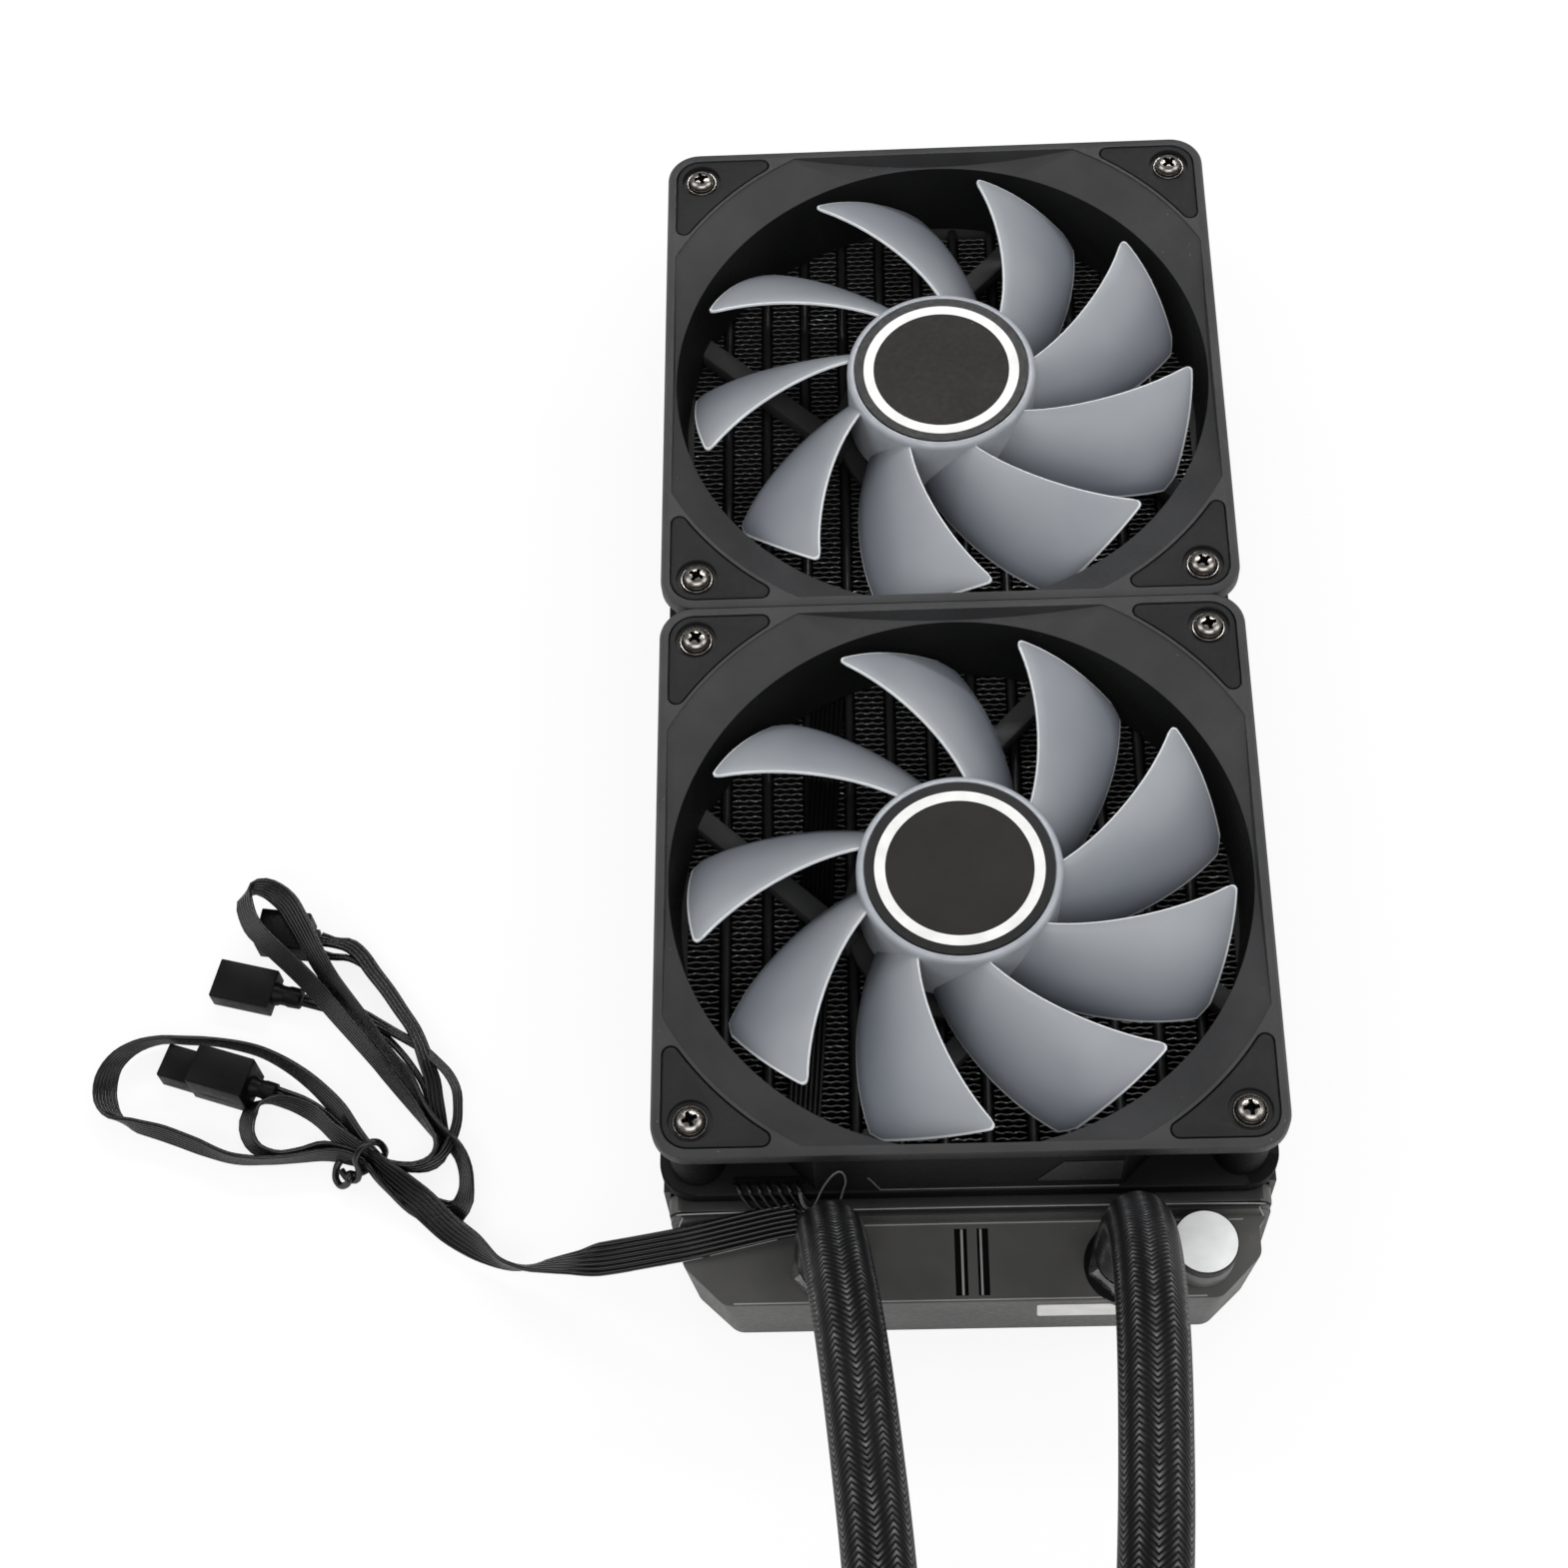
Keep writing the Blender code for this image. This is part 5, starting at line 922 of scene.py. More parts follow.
def lifted(route, facings, half):
    """The route raised wherever a wire of that half width would reach the table."""
    raised = []
    for i, place in enumerate(route):
        ahead = (route[min(i + 1, len(route) - 1)] - route[max(i - 1, 0)]).normalized()
        up = (facings[i] - ahead * ahead.dot(facings[i])).normalized()
        need = half * abs(ahead.cross(up).z) + WIRE_R + 0.1
        raised.append(Vector((place.x, place.y, max(place.z, need))))
    return raised


def draw_ribbon(name, table, wires, spacing=1.5):
    """Parallel wires side by side along a table of places and facings."""
    knots = [row[:3] for row in table]
    route, shares, length = smooth_route(knots, spacing)
    facings = normals_between([row[3:] for row in table], knots, shares)
    route = lifted(route, facings, (wires - 1) / 2 * WIRE_PITCH)
    return sweep(name, route, lead_section(wires, WIRE_PITCH, WIRE_R), facings), route, length


def paint_edge_wire_highlight(lead, route, stretches):
    """Painted highlight: white on one edge wire of a flat lead, over the given stretches of its route."""
    lead.data.materials.append(MATERIALS["lead"])
    lead.data.materials.append(MATERIALS["lead_highlight"])
    around = len(lead_section(7, WIRE_PITCH, WIRE_R))
    for i, place in enumerate(route[:-1]):
        if any(low < place.x < high for low, high in stretches) and place.z > 15.0:
            for j in (around - 2, around - 1):
                lead.data.polygons[i * around + j].material_index = 1


def make_tie():
    """Wire tie round the folded leads, its tail curled beside them."""
    return settle(draw_wire("wire_tie", TIE_ROUTE, TIE_R), MATERIALS["lead"], replaces=["lead_tie"])


def draw_wire(name, knots, radius, spacing=0.6, sizes=None):
    """One round wire along its knots."""
    route, shares, _ = smooth_route(knots, spacing)
    section = [polar(radius, 360 * i / 12) for i in range(12)]
    facings = []
    last = Vector((1.0, 1.0, 0.3)).normalized()
    for i in range(len(route)):
        ahead = (route[min(i + 1, len(route) - 1)] - route[max(i - 1, 0)]).normalized()
        last = (last - ahead * ahead.dot(last)).normalized()
        facings.append(last)
    return sweep(name, route, section, facings, [sizes(share) for share in shares] if sizes else None)


def make_lead_fold():
    """Where the fan lead leaves the frame: a folded strip whose wires bend over the flange one by one."""
    strip = block("strip", (-45.6, -118.4, 30.9), (-31.8, -116.6, 31.5))
    wires = [round_edges(strip, 0.12, 1)]
    for i in range(7):
        x = -44.9 + 1.95 * i
        knots = [(x, -117.7, 31.3), (x + 0.15, -118.6, 31.8), (x + 0.7, -119.8, 31.3),
                 (x + 1.6, -120.8, 29.6), (x + 2.8, -121.7, 28.0), (x + 4.4, -122.4, 27.0)]
        wires.append(draw_wire("wire", knots, 0.4))
    fold = settle(gather("lead_fold", wires), MATERIALS["lead"])
    # The loose wire's colour is partly its own dark grey and partly a painted highlight.
    wire = draw_wire("loose_wire", LOOSE_WIRE, 0.2, 0.5, lambda share: 2.0 if share < 0.13 else 1.0)
    return [fold, settle(wire, MATERIALS["grey_wire"])]


# Connectors: name, middle, heading, block length, width, height, boot radius and length
CONNECTORS = (
    ("power_plug", (-144.5, -49.6), -8.0, 11.0, 8.6, 6.8, 1.9, 2.0),
    ("light_plug", (-152.2, -61.4), -14.0, 13.2, 8.8, 5.2, 2.2, 6.0),
    ("light_socket", (-154.4, -83.0), -18.0, 12.6, 8.6, 10.0, 2.0, 5.6),
    ("light_socket_cap", (-164.2, -79.8), -18.0, 7.4, 7.4, 6.0, 0.0, 0.0),
)


def make_connector(name, middle, heading, length, width, height, boot_r, boot_length):
    """A lead's connector: block with soft edges and guide ribs, and a ringed boot where the lead enters."""
    body = block(name, (-length / 2, -width / 2, 0.0), (length / 2, width / 2, height))
    body = round_edges(body, 0.35, 3)
    pieces = [body]
    for side in (-1, 1):
        low = (-length * 0.32, side * (width / 2 - 0.15) - 0.15, height * 0.3)
        high = (length * 0.34, side * (width / 2 - 0.15) + 0.15, height * 0.42)
        pieces.append(round_edges(block("rib", low, high), 0.1, 1))
    if boot_length:
        profile = [(0.0, 0.0), (boot_r * 1.12, 0.0), (boot_r * 1.12, boot_length * 0.3),
                   (boot_r * 0.96, boot_length * 0.42), (boot_r * 0.96, boot_length * 0.62),
                   (boot_r * 1.04, boot_length * 0.72), (boot_r, boot_length + 0.8),
                   (boot_r * 0.8, boot_length + 1.0), (0.0, boot_length + 1.0)]
        boot = turn("boot", profile, 40)
        boot = shift(boot, turn_deg=(0.0, 90.0, 0.0))
        boot = shift(boot, (length / 2 - 1.0, 0.0, height / 2))
        pieces.append(boot)
    whole = smooth(shift(gather(name, pieces), (*middle, 0.0), (0.0, 0.0, heading)))
    whole.name = f"{name}_block"
    return settle(whole, MATERIALS["connector"], replaces=[name])


def make_cords():
    """Both hoses, and the leads with what hangs on them."""
    for side in ("left", "right"):
        make_hose(side)
    plugs = {row[0]: make_connector(*row) for row in CONNECTORS}
    pairs = {}
    for name, table in (("power_pair", POWER_PAIR), ("light_pair", LIGHT_PAIR)):
        pair, _, _ = draw_ribbon(f"{name}_wires", table, 2)
        pairs[name] = settle(pair, MATERIALS["lead"])
    cords = (
        ("fan_lead", FAN_LEAD, 7, "fitting", [make_tie(), *make_lead_fold()]),
        ("power_lead", POWER_LEAD, 4, "connector", [plugs["power_plug"], pairs["power_pair"]]),
        ("light_lead", LIGHT_LEAD, 3, "connector", [plugs["light_plug"], pairs["light_pair"]]),
        ("tail_lead", TAIL_LEAD, 3, "connector", [plugs["light_socket"], plugs["light_socket_cap"]]),
    )
    for name, table, wires, far_end, with_pieces in cords:
        lead, route, length = draw_ribbon(f"{name}_ribbon", table, wires)
        if name == "fan_lead":
            paint_edge_wire_highlight(lead, route, HIGHLIGHT_STRETCHES)
        settle(lead, None if name == "fan_lead" else MATERIALS["lead"])
        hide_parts(name)


# Fans

def pad_outline(grow=0.0, steps=10):
    """Outline of the pad in the back right corner: two straight sides and an arc about the fan's axis."""
    edge = FAN_HALF - PAD_EDGE_INSET + grow
    arc_r = PAD_ARC_R - grow
    end_r = PAD_END_R + grow
    corner_r = PAD_CORNER_R + grow
    reach = math.sqrt((arc_r + end_r) ** 2 - (edge - end_r) ** 2)
    end_deg = math.degrees(math.atan2(reach, edge - end_r))
    outline = arc((edge - end_r, reach), end_r, end_deg - 180, 0, steps)
    outline += arc((edge - corner_r, edge - corner_r), corner_r, 0, 90, steps)
    outline += arc((reach, edge - end_r), end_r, 90, 270 - end_deg, steps)
    outline += arc((0.0, 0.0), arc_r, 90 - end_deg, end_deg, 12)[1:-1]
    return outline


def duct_outline():
    """Outer wall of the duct: an octagon with soft corners."""
    far, near = DUCT_HALF, DUCT_FLAT
    corners = [(far, -near), (far, near), (near, far), (-near, far), (-far, near), (-far, -near),
               (-near, -far), (near, -far)]
    return rounded_corners(corners, 1.0, 4)


def make_frame():
    """Moulded frame: two flanges, octagonal duct, posts, rounded inlet, struts and motor base."""
    square = rounded_box(FAN_HALF, FAN_HALF, FAN_CORNER, 12)
    lower = round_edges(plate("frame", square, 0.0, FLANGE), 0.35, 2, 50)
    upper = round_edges(plate("upper", square, FAN_DEPTH - FLANGE, FAN_DEPTH), 0.45, 3, 50)
    duct = plate("duct", duct_outline(), FLANGE / 2, FAN_DEPTH - FLANGE / 2)
    tools = [upper, duct]
    for quarter in range(4):
        x, y = polar(SCREW_PLACE * math.sqrt(2), 45 + 90 * quarter)
        tools.append(rod("post", POST_R, FLANGE / 2, FAN_DEPTH - FLANGE / 2, 48, (x, y)))
        web = block("web", (DUCT_R + 1.0, -POST_WEB / 2, FLANGE / 2),
                    (SCREW_PLACE * math.sqrt(2), POST_WEB / 2, FAN_DEPTH - FLANGE / 2))
        tools.append(shift(web, turn_deg=(0.0, 0.0, 45 + 90 * quarter)))
    body = fuse(lower, *tools)
    throat = FAN_DEPTH - BELL_DEPTH
    profile = [(0.0, -1.0), (DUCT_R, -1.0), (DUCT_R, FLANGE), (DUCT_R + DUCT_FLARE, throat - 0.15),
               (DUCT_R + DUCT_FLARE + 0.12, throat), (BELL_R - 0.15, FAN_DEPTH - 0.5),
               (BELL_R, FAN_DEPTH - 0.35), (BELL_R, FAN_DEPTH + 1.0), (0.0, FAN_DEPTH + 1.0)]
    air = turn("air", profile, 180)
    inside_rim = rounded_box(FAN_HALF - RIM, FAN_HALF - RIM, FAN_CORNER - RIM, 8)
    rim = plate("rim", inside_rim, -2.0, FAN_DEPTH + 2.0)
    air = finish_modifier(air, "BOOLEAN", operation="INTERSECT", solver="EXACT", object=rim)
    bpy.data.objects.remove(rim)
    pockets = []
    for quarter in range(4):
        pocket = plate("pocket", pad_outline(PAD_GROOVE), PAD_FLOOR, FAN_DEPTH + 1.0)
        pockets.append(shift(pocket, turn_deg=(0.0, 0.0, 90 * quarter)))
    body = cut(body, air, *pockets)
    base = turn("spider", [
        (0.0, 0.0), (MOTOR_BASE_R - 0.4, 0.0), (MOTOR_BASE_R, 0.4), (MOTOR_BASE_R, MOTOR_BASE_HEIGHT - 0.4),
        (MOTOR_BASE_R - 0.4, MOTOR_BASE_HEIGHT), (BEARING_TUBE_R, MOTOR_BASE_HEIGHT),
        (BEARING_TUBE_R, BEARING_TUBE_TOP), (BEARING_BORE_R, BEARING_TUBE_TOP), (BEARING_BORE_R, 1.25),
        (0.0, 1.25)], 64)
    struts = []
    for quarter in range(4):
        outer = Vector(polar(DUCT_R + 1.2, STRUT_OUTER_DEG))
        inner = Vector(polar(MOTOR_BASE_R - 1.0, STRUT_INNER_DEG))
        along = inner - outer
        strut = block("strut", (0.0, -STRUT_WIDTH / 2, 0.0), (along.length, STRUT_WIDTH / 2, STRUT_HEIGHT))
        strut = bevel_chosen(strut, 0.5, 2, lambda a, b: abs(a.x - b.x) > 1.0)
        strut = shift(strut, (*outer, 0.0), (0.0, 0.0, math.degrees(math.atan2(along.y, along.x))))
        struts.append(shift(strut, turn_deg=(0.0, 0.0, 90 * quarter)))
    body = fuse(body, base, *struts)
    holes = []
    for quarter in range(4):
        x, y = polar(SCREW_PLACE * math.sqrt(2), 45 + 90 * quarter)
        holes.append(rod("hole", SCREW_HOLE_R, -1.0, FAN_DEPTH + 1.0, 32, (x, y)))
    body = tidy_skin(cut(body, *holes))
    # The raised panel on the front wall takes a half-shade painted colour, lighter than the painted shade
    # around it, and the thin pale bead along the wall's foot is a painted highlight.
    panel = plate("panel", [(13.0, 7.6), (29.0, 7.6), (29.0, 17.4), (17.7, 17.4)], 0.0, 0.35)
    panel = shift(round_edges(panel, 0.12, 1), (0.0, -DUCT_HALF, 0.0), (90.0, 0.0, 0.0))
    bead = draw_wire("bead", [(-19.4, -DUCT_HALF - 0.1, 10.4), (-18.7, -DUCT_HALF - 0.1, 8.6),
                              (-17.2, -DUCT_HALF - 0.1, 4.0), (-16.0, -DUCT_HALF - 0.1, FLANGE),
                              (0.0, -DUCT_HALF - 0.1, FLANGE), (28.8, -DUCT_HALF - 0.1, FLANGE)], 0.16)
    # Painted shade: the duct wall takes a darker copy of the frame's black, posts, corners and lower flange a
    # near-black, and the outer sides a darker copy; painted light: the rim's top takes a lighter copy.
    wall, deep, side, rim_top = range(1, 5)
    for key in ("frame", "duct", "recess", "flange_side", "rim"):
        body.data.materials.append(MATERIALS[key])
    panel.data.materials.append(MATERIALS["panel"])
    bead.data.materials.append(MATERIALS["bead"])
    for face in body.data.polygons:
        place, out = face.center, face.normal
        if place.z < FAN_DEPTH - BELL_DEPTH + 1.2 and place.xy.length > DUCT_R - 0.5:
            on_bell = out.z > 0.3 and place.z > 15.0 and place.xy.length < BELL_R
            corner = min(abs(place.x), abs(place.y)) > 30.0 or place.z < FLANGE + 0.1
            if not on_bell:
                face.material_index = deep if corner and place.xy.length > DUCT_R + 3.0 else wall
        elif max(abs(place.x), abs(place.y)) > FAN_HALF - 0.2 and abs(out.z) < 0.5:
            face.material_index = side
        elif out.z > 0.3 and abs(place.x) > FAN_HALF - RIM:
            face.material_index = rim_top
    return smooth(gather("frame", [body, panel, bead]), 30)


def make_pad():
    """Rubber corner pad with softened edges and a round seat for the screw's washer."""
    pad = plate("pad", pad_outline(), PAD_FLOOR + 0.3, PAD_TOP)
    pad = round_edges(pad, 0.22, 2, 60)
    hole = rod("seat", PAD_HOLE_R, PAD_FLOOR - 1.0, PAD_TOP + 1.0, 64, (SCREW_PLACE, SCREW_PLACE))
    pad = cut(pad, hole)
    pad = bevel_chosen(pad, 0.25, 2, lambda a, b: a.z > PAD_TOP - 0.01 and b.z > PAD_TOP - 0.01 and all(
        abs(math.hypot(p.x - SCREW_PLACE, p.y - SCREW_PLACE) - PAD_HOLE_R) < 0.05 for p in (a, b)))
    return smooth(pad, 30)


def make_screw():
    """Domed screw with a deep cross recess painted near-black as shade, on a dished washer over a lock ring
    painted near-black as shade.
    """
    head = turn("screw", [
        (0.0, -SCREW_LENGTH), (SCREW_SHANK_R, -SCREW_LENGTH), (SCREW_SHANK_R, 0.3), (2.0, 0.3), (2.55, 0.5),
        (2.72, 0.8), (2.7, 1.2), (2.55, 1.6), (2.25, 1.95), (1.8, 2.2), (1.2, 2.34), (0.0, 2.4)], 64)
    arms = []
    for turn_deg in (0.0, 90.0):
        arm = block("arm", (-1.85, -0.46, 0.7), (1.85, 0.46, 2.8))
        for vert in arm.data.vertices:
            if vert.co.z < 1.5:
                vert.co.x *= 0.4
                vert.co.y *= 0.7
        arms.append(shift(arm, turn_deg=(0.0, 0.0, turn_deg)))
    boss = turn("boss", [(0.0, 0.7), (0.45, 0.7), (1.0, 2.8), (0.0, 2.8)], 24)
    head.data.materials.append(MATERIALS["screw"])
    # Painted shade: the faces cut by the cross and its cone take the near-black.
    for tool in (*arms, boss):
        tool.data.materials.append(MATERIALS["recess"])
        finish_modifier(head, "BOOLEAN", operation="DIFFERENCE", solver="EXACT", material_mode="TRANSFER",
                        object=tool)
        bpy.data.objects.remove(tool)
    washer = turn("washer", [
        (1.6, 0.0), (3.1, 0.0), (3.36, 0.14), (3.38, 0.4), (3.26, 0.56), (3.1, 0.54), (2.86, 0.34),
        (1.6, 0.3)], 64)
    washer.data.materials.append(MATERIALS["screw"])
    # Painted shade: the lock ring under the head is near-black.
    lock = turn("lock", [(1.6, 0.3), (2.8, 0.3), (2.95, 0.42), (2.8, 0.54), (1.6, 0.54)], 64)
    lock.data.materials.append(MATERIALS["recess"])
    return smooth(gather("screw", [head, washer, lock]), 32)


def blade_edge(share):
    """Angle and height of a blade's leading and trailing edges at a share of its span."""
    lead_deg = -32.2 + 51.0 * share - 31.2 * share ** 2 + 12.4 * share ** 3
    trail_deg = -63.2 + 59.5 * share - 37.7 * share ** 2 + 15.6 * share ** 3
    lead_z = 21.3 + 2.2 * share - 2.2 * share ** 2
    trail_z = 7.4 + 0.6 * share
    return lead_deg, trail_deg, lead_z, trail_z


def tip_radius(chord):
    """How far out the blade's tip reaches: rounded at the leading corner, cut off at the trailing one."""
    arc_length = TIP_SPAN * chord
    if arc_length < LEAD_CORNER_R:
        rise = LEAD_CORNER_R ** 2 - (LEAD_CORNER_R - arc_length) ** 2
        return TIP_R - LEAD_CORNER_R + math.sqrt(max(0.0, rise))
    left = TIP_SPAN * (1.0 - chord)
    if left < TRAIL_CUT[0]:
        return TIP_R - TRAIL_CUT[1] * (1.0 - left / TRAIL_CUT[0])
    return TIP_R


def drop_share(chord):
    """How much of the drop from leading to trailing edge is done at a share of the chord."""
    return chord - BLADE_BULGE * 4.0 * chord * (1.0 - chord)


def blade_point(chord, share):
    """A point of the blade's middle surface; share runs from the root to the tip."""
    reach = (tip_radius(chord) - ROOT_R) * share
    span = reach / (TIP_R - ROOT_R)
    lead_deg, trail_deg, lead_z, trail_z = blade_edge(span)
    x, y = polar(ROOT_R + reach, lead_deg + (trail_deg - lead_deg) * chord)
    return (x, y, lead_z + (trail_z - lead_z) * drop_share(chord))


def make_blade():
    """One blade: a grid pulled onto the blade's surface, thickened, with a pale rim all round as a painted
    highlight.
    """
    columns = [0.0, 0.012, 0.03, 0.06, 0.1, 0.15, 0.22, 0.3, 0.38, 0.46, 0.54, 0.62, 0.7, 0.78, 0.84, 0.88,
               0.9, 0.94, 0.985, 1.0]
    rows = [0.0, 0.06, 0.13, 0.2, 0.28, 0.36, 0.44, 0.52, 0.6, 0.68, 0.76, 0.84, 0.91, 0.96, 0.988, 1.0]
    bpy.ops.object.select_all(action="DESELECT")
    bpy.ops.mesh.primitive_grid_add(x_subdivisions=len(columns) - 1, y_subdivisions=len(rows) - 1, size=2.0)
    blade = take_new("blade")
    across = len(columns)
    for number, vert in enumerate(blade.data.vertices):
        vert.co = blade_point(columns[number % across], rows[number // across])
    blade.data.materials.append(MATERIALS["blade"])
    blade.data.materials.append(MATERIALS["blade_rim_highlight"])
    body = blade.vertex_groups.new(name="body")
    for number, vert in enumerate(blade.data.vertices):
        column, row = number % across, number // across
        inward = min(min(columns[column], 1.0 - columns[column]) * 28.0,
                     (1.0 - rows[row]) * (TIP_R - ROOT_R))
        body.add([number], min(1.0, (inward / 2.6) ** 0.6), "REPLACE")
    # Painted highlight: faces along the blade's edges take the pale rim colour.
    for face in blade.data.polygons:
        places = [(number % across, number // across) for number in face.vertices]
        edge = any(a in (0, across - 1) or b == len(rows) - 1 for a, b in places)
        if edge:
            face.material_index = 1
    finish_modifier(blade, "SOLIDIFY", thickness=BLADE_THICKNESS, offset=0.0, use_even_offset=True,
                    material_offset_rim=1, vertex_group="body", thickness_vertex_group=0.36)
    return blade


def make_rotor():
    """Nine blades on a hub cup with a seat for the disc and a socket for the shaft."""
    first = make_blade()
    blades = [copy(first, f"blade_{i}", turn_deg=(0.0, 0.0, 360 * i / BLADES)) for i in range(1, BLADES)]
    disc_r = DISC_R + 0.25
    cup = turn("hub", [
        (HUB_R - HUB_WALL, HUB_BOTTOM), (HUB_R - 0.2, HUB_BOTTOM), (HUB_R, HUB_BOTTOM + 0.2),
        (HUB_R, HUB_TOP - 1.3), (HUB_R - 0.12, HUB_TOP - 0.7), (HUB_R - 0.5, HUB_TOP - 0.2),
        (HUB_R - 1.0, HUB_TOP), (disc_r + 0.1, HUB_TOP), (disc_r, HUB_TOP - 0.1), (disc_r, HUB_TOP - 0.9),
        (1.8, HUB_TOP - 0.9), (1.8, HUB_TOP - 7.4), (3.4, HUB_TOP - 7.4), (3.4, HUB_TOP - 2.5),
        (HUB_R - HUB_WALL, HUB_TOP - 2.5)], 128)
    cup.data.materials.append(MATERIALS["hub"])
    return smooth(gather("rotor", [first, *blades, cup]), 40)


def make_hub_disc():
    """Blank black disc with a plain white ring, all flush."""
    inner, outer = WHITE_RING
    low = HUB_TOP - 0.6
    disc = turn("disc", [
        (0.0, low), (DISC_R, low), (DISC_R, HUB_TOP - 0.1), (DISC_R - 0.1, HUB_TOP), (outer, HUB_TOP),
        (outer, HUB_TOP - 0.1), (inner, HUB_TOP - 0.1), (inner, HUB_TOP), (0.0, HUB_TOP)], 128)
    ring = turn("ring", [(inner, HUB_TOP - 0.08), (outer, HUB_TOP - 0.08), (outer, HUB_TOP + 0.02),
                         (inner, HUB_TOP + 0.02)], 128)
    sticker = turn("sticker", [(0.0, HUB_TOP - 0.05), (inner - 0.05, HUB_TOP - 0.05),
                               (inner - 0.05, HUB_TOP + 0.03), (0.0, HUB_TOP + 0.03)], 128)
    for piece, key in ((disc, "hub_disc"), (ring, "hub_ring"), (sticker, "hub_sticker")):
        piece.data.materials.append(MATERIALS[key])
    return smooth(gather("hub_disc", [disc, ring, sticker]), 30)


def make_fans():
    """Both fans: frames, pads and screws stand still, blades and hub turn."""
    frame_shape = make_frame()
    rotor = make_rotor()
    disc = make_hub_disc()
    pad = make_pad()
    screw = make_screw()
    corners = ("back_right", "back_left", "front_left", "front_right")
    for fan, y in FAN_CENTRES.items():
        place = (0.0, y, FAN_FOOT)
        phase = (0.0, 0.0, FAN_PHASES[fan])
        settle(copy(frame_shape, f"{fan}_frame", place), None,
               replaces=[f"{fan}_fan_frame"])
        settle(copy(rotor, f"{fan}_rotor_shape", place, phase), None, f"{fan}_rotor",
               replaces=[f"{fan}_fan_rotor"])
        settle(copy(disc, f"{fan}_disc", place, phase), None, f"{fan}_rotor",
               replaces=[f"{fan}_fan_hub_disc"])
        for quarter, corner in enumerate(corners):
            settle(copy(pad, f"{fan}_pad_{corner}", place, (0.0, 0.0, 90 * quarter)), MATERIALS["pad"],
                   replaces=[f"{fan}_fan_pad_{corner}"])
            x, across = polar(SCREW_PLACE * math.sqrt(2), 45 + 90 * quarter)
            spin = SCREW_TURNS[(fan, corner)]
            settle(copy(screw, f"{fan}_screw_{corner}", (x, y + across, FAN_FOOT + PAD_FLOOR + 0.3),
                        (0.0, 0.0, spin)), None,
                   replaces=[f"{fan}_fan_screw_{corner}"])
    for piece in (frame_shape, rotor, disc, pad, screw):
        bpy.data.objects.remove(piece)


# Radiator

def make_fin_columns(name, width, count, first_x):
    """Folded fins between tubes: one wave, repeated along the core and from tube to tube."""
    half = width / 2
    steps = 5
    path = []
    for direction, y in ((1, 0.0), (-1, FIN_PITCH / 2)):
        path.append((-direction * (half - 0.02), y))
        for i in range(steps + 1):
            x = -direction * (half - 0.5) + direction * (width - 1.0) * i / steps
            path.append((x, y + 0.14 * (1 if i % 2 else -1)))
        path.append((direction * (half - 0.02), y + FIN_PITCH / 4))
    path.append((-half + 0.02, FIN_PITCH))
    bpy.ops.object.select_all(action="DESELECT")
    bpy.ops.mesh.primitive_grid_add(x_subdivisions=len(path) - 1, y_subdivisions=1, size=2.0)
    fin = take_new(name)
    for number, vert in enumerate(fin.data.vertices):
        x, y = path[number % len(path)]
        low, high = CORE_BOTTOM + 0.4, CORE_TOP - (0.3 if abs(x) < half - 0.3 else 1.1)
        vert.co = (first_x + x, y - CORE_HALF + 0.1, (low, high)[number // len(path)])
    finish_modifier(fin, "SOLIDIFY", thickness=FIN_SHEET, offset=0.0)
    finish_modifier(fin, "ARRAY", count=int((2 * CORE_HALF - 0.4) / FIN_PITCH), use_relative_offset=False,
                    use_constant_offset=True, constant_offset_displace=(0.0, FIN_PITCH, 0.0))
    if count > 1:
        finish_modifier(fin, "ARRAY", count=count, use_relative_offset=False, use_constant_offset=True,
                        constant_offset_displace=(TUBE_PITCH, 0.0, 0.0))
    return fin


def make_core():
    """Flat tubes with rounded edges, and the folded fins between them."""
    inner_gap = TUBE_PITCH - TUBE_WIDTH
    last_x = (TUBES - 1) / 2 * TUBE_PITCH
    wall_x = HALF_WIDTH - 2.0
    outer_gap = wall_x - last_x - TUBE_WIDTH / 2
    fins = [make_fin_columns("fins", inner_gap, TUBES - 1, -last_x + TUBE_PITCH / 2)]
    for side in (-1, 1):
        fins.append(make_fin_columns("fins", outer_gap, 1, side * (wall_x - outer_gap / 2)))
    fins = gather("core_fins", fins)
    settle(fins, MATERIALS["fins"], replaces=["radiator_core"])
    tube = block("tube", (-last_x - TUBE_WIDTH / 2, -CORE_HALF, CORE_BOTTOM),
                 (-last_x + TUBE_WIDTH / 2, CORE_HALF, CORE_TOP))
    tube = bevel_chosen(tube, 0.9, 4, lambda a, b: abs(a.y - b.y) > 10.0)
    finish_modifier(tube, "ARRAY", count=TUBES, use_relative_offset=False, use_constant_offset=True,
                    constant_offset_displace=(TUBE_PITCH, 0.0, 0.0))
    walls = [block("wall", (side * wall_x - 0.25, -CORE_HALF, CORE_BOTTOM),
                   (side * wall_x + 0.25, CORE_HALF, CORE_TOP)) for side in (-1, 1)]
    tubes = smooth(gather("core_tubes", [tube, *walls]), 50)
    settle(tubes, MATERIALS["tubes"])


def tank_outline(length):
    """Plan of an end tank from its header, corners cut back towards its closed end."""
    front = HEADER_END + length
    cut_back = length * 0.5
    half = [(57.3, HEADER_END - 1.0, 0.2), (57.3, HEADER_END + 1.2, 0.8), (56.1, HEADER_END + 2.6, 0.8),
            (56.1, front - cut_back, 3.0), (56.1 - cut_back, front, 3.6)]
    corners = half + [(-x, y, bend) for x, y, bend in half[::-1]]
    return rounded_corners(corners, 1.0, 5)


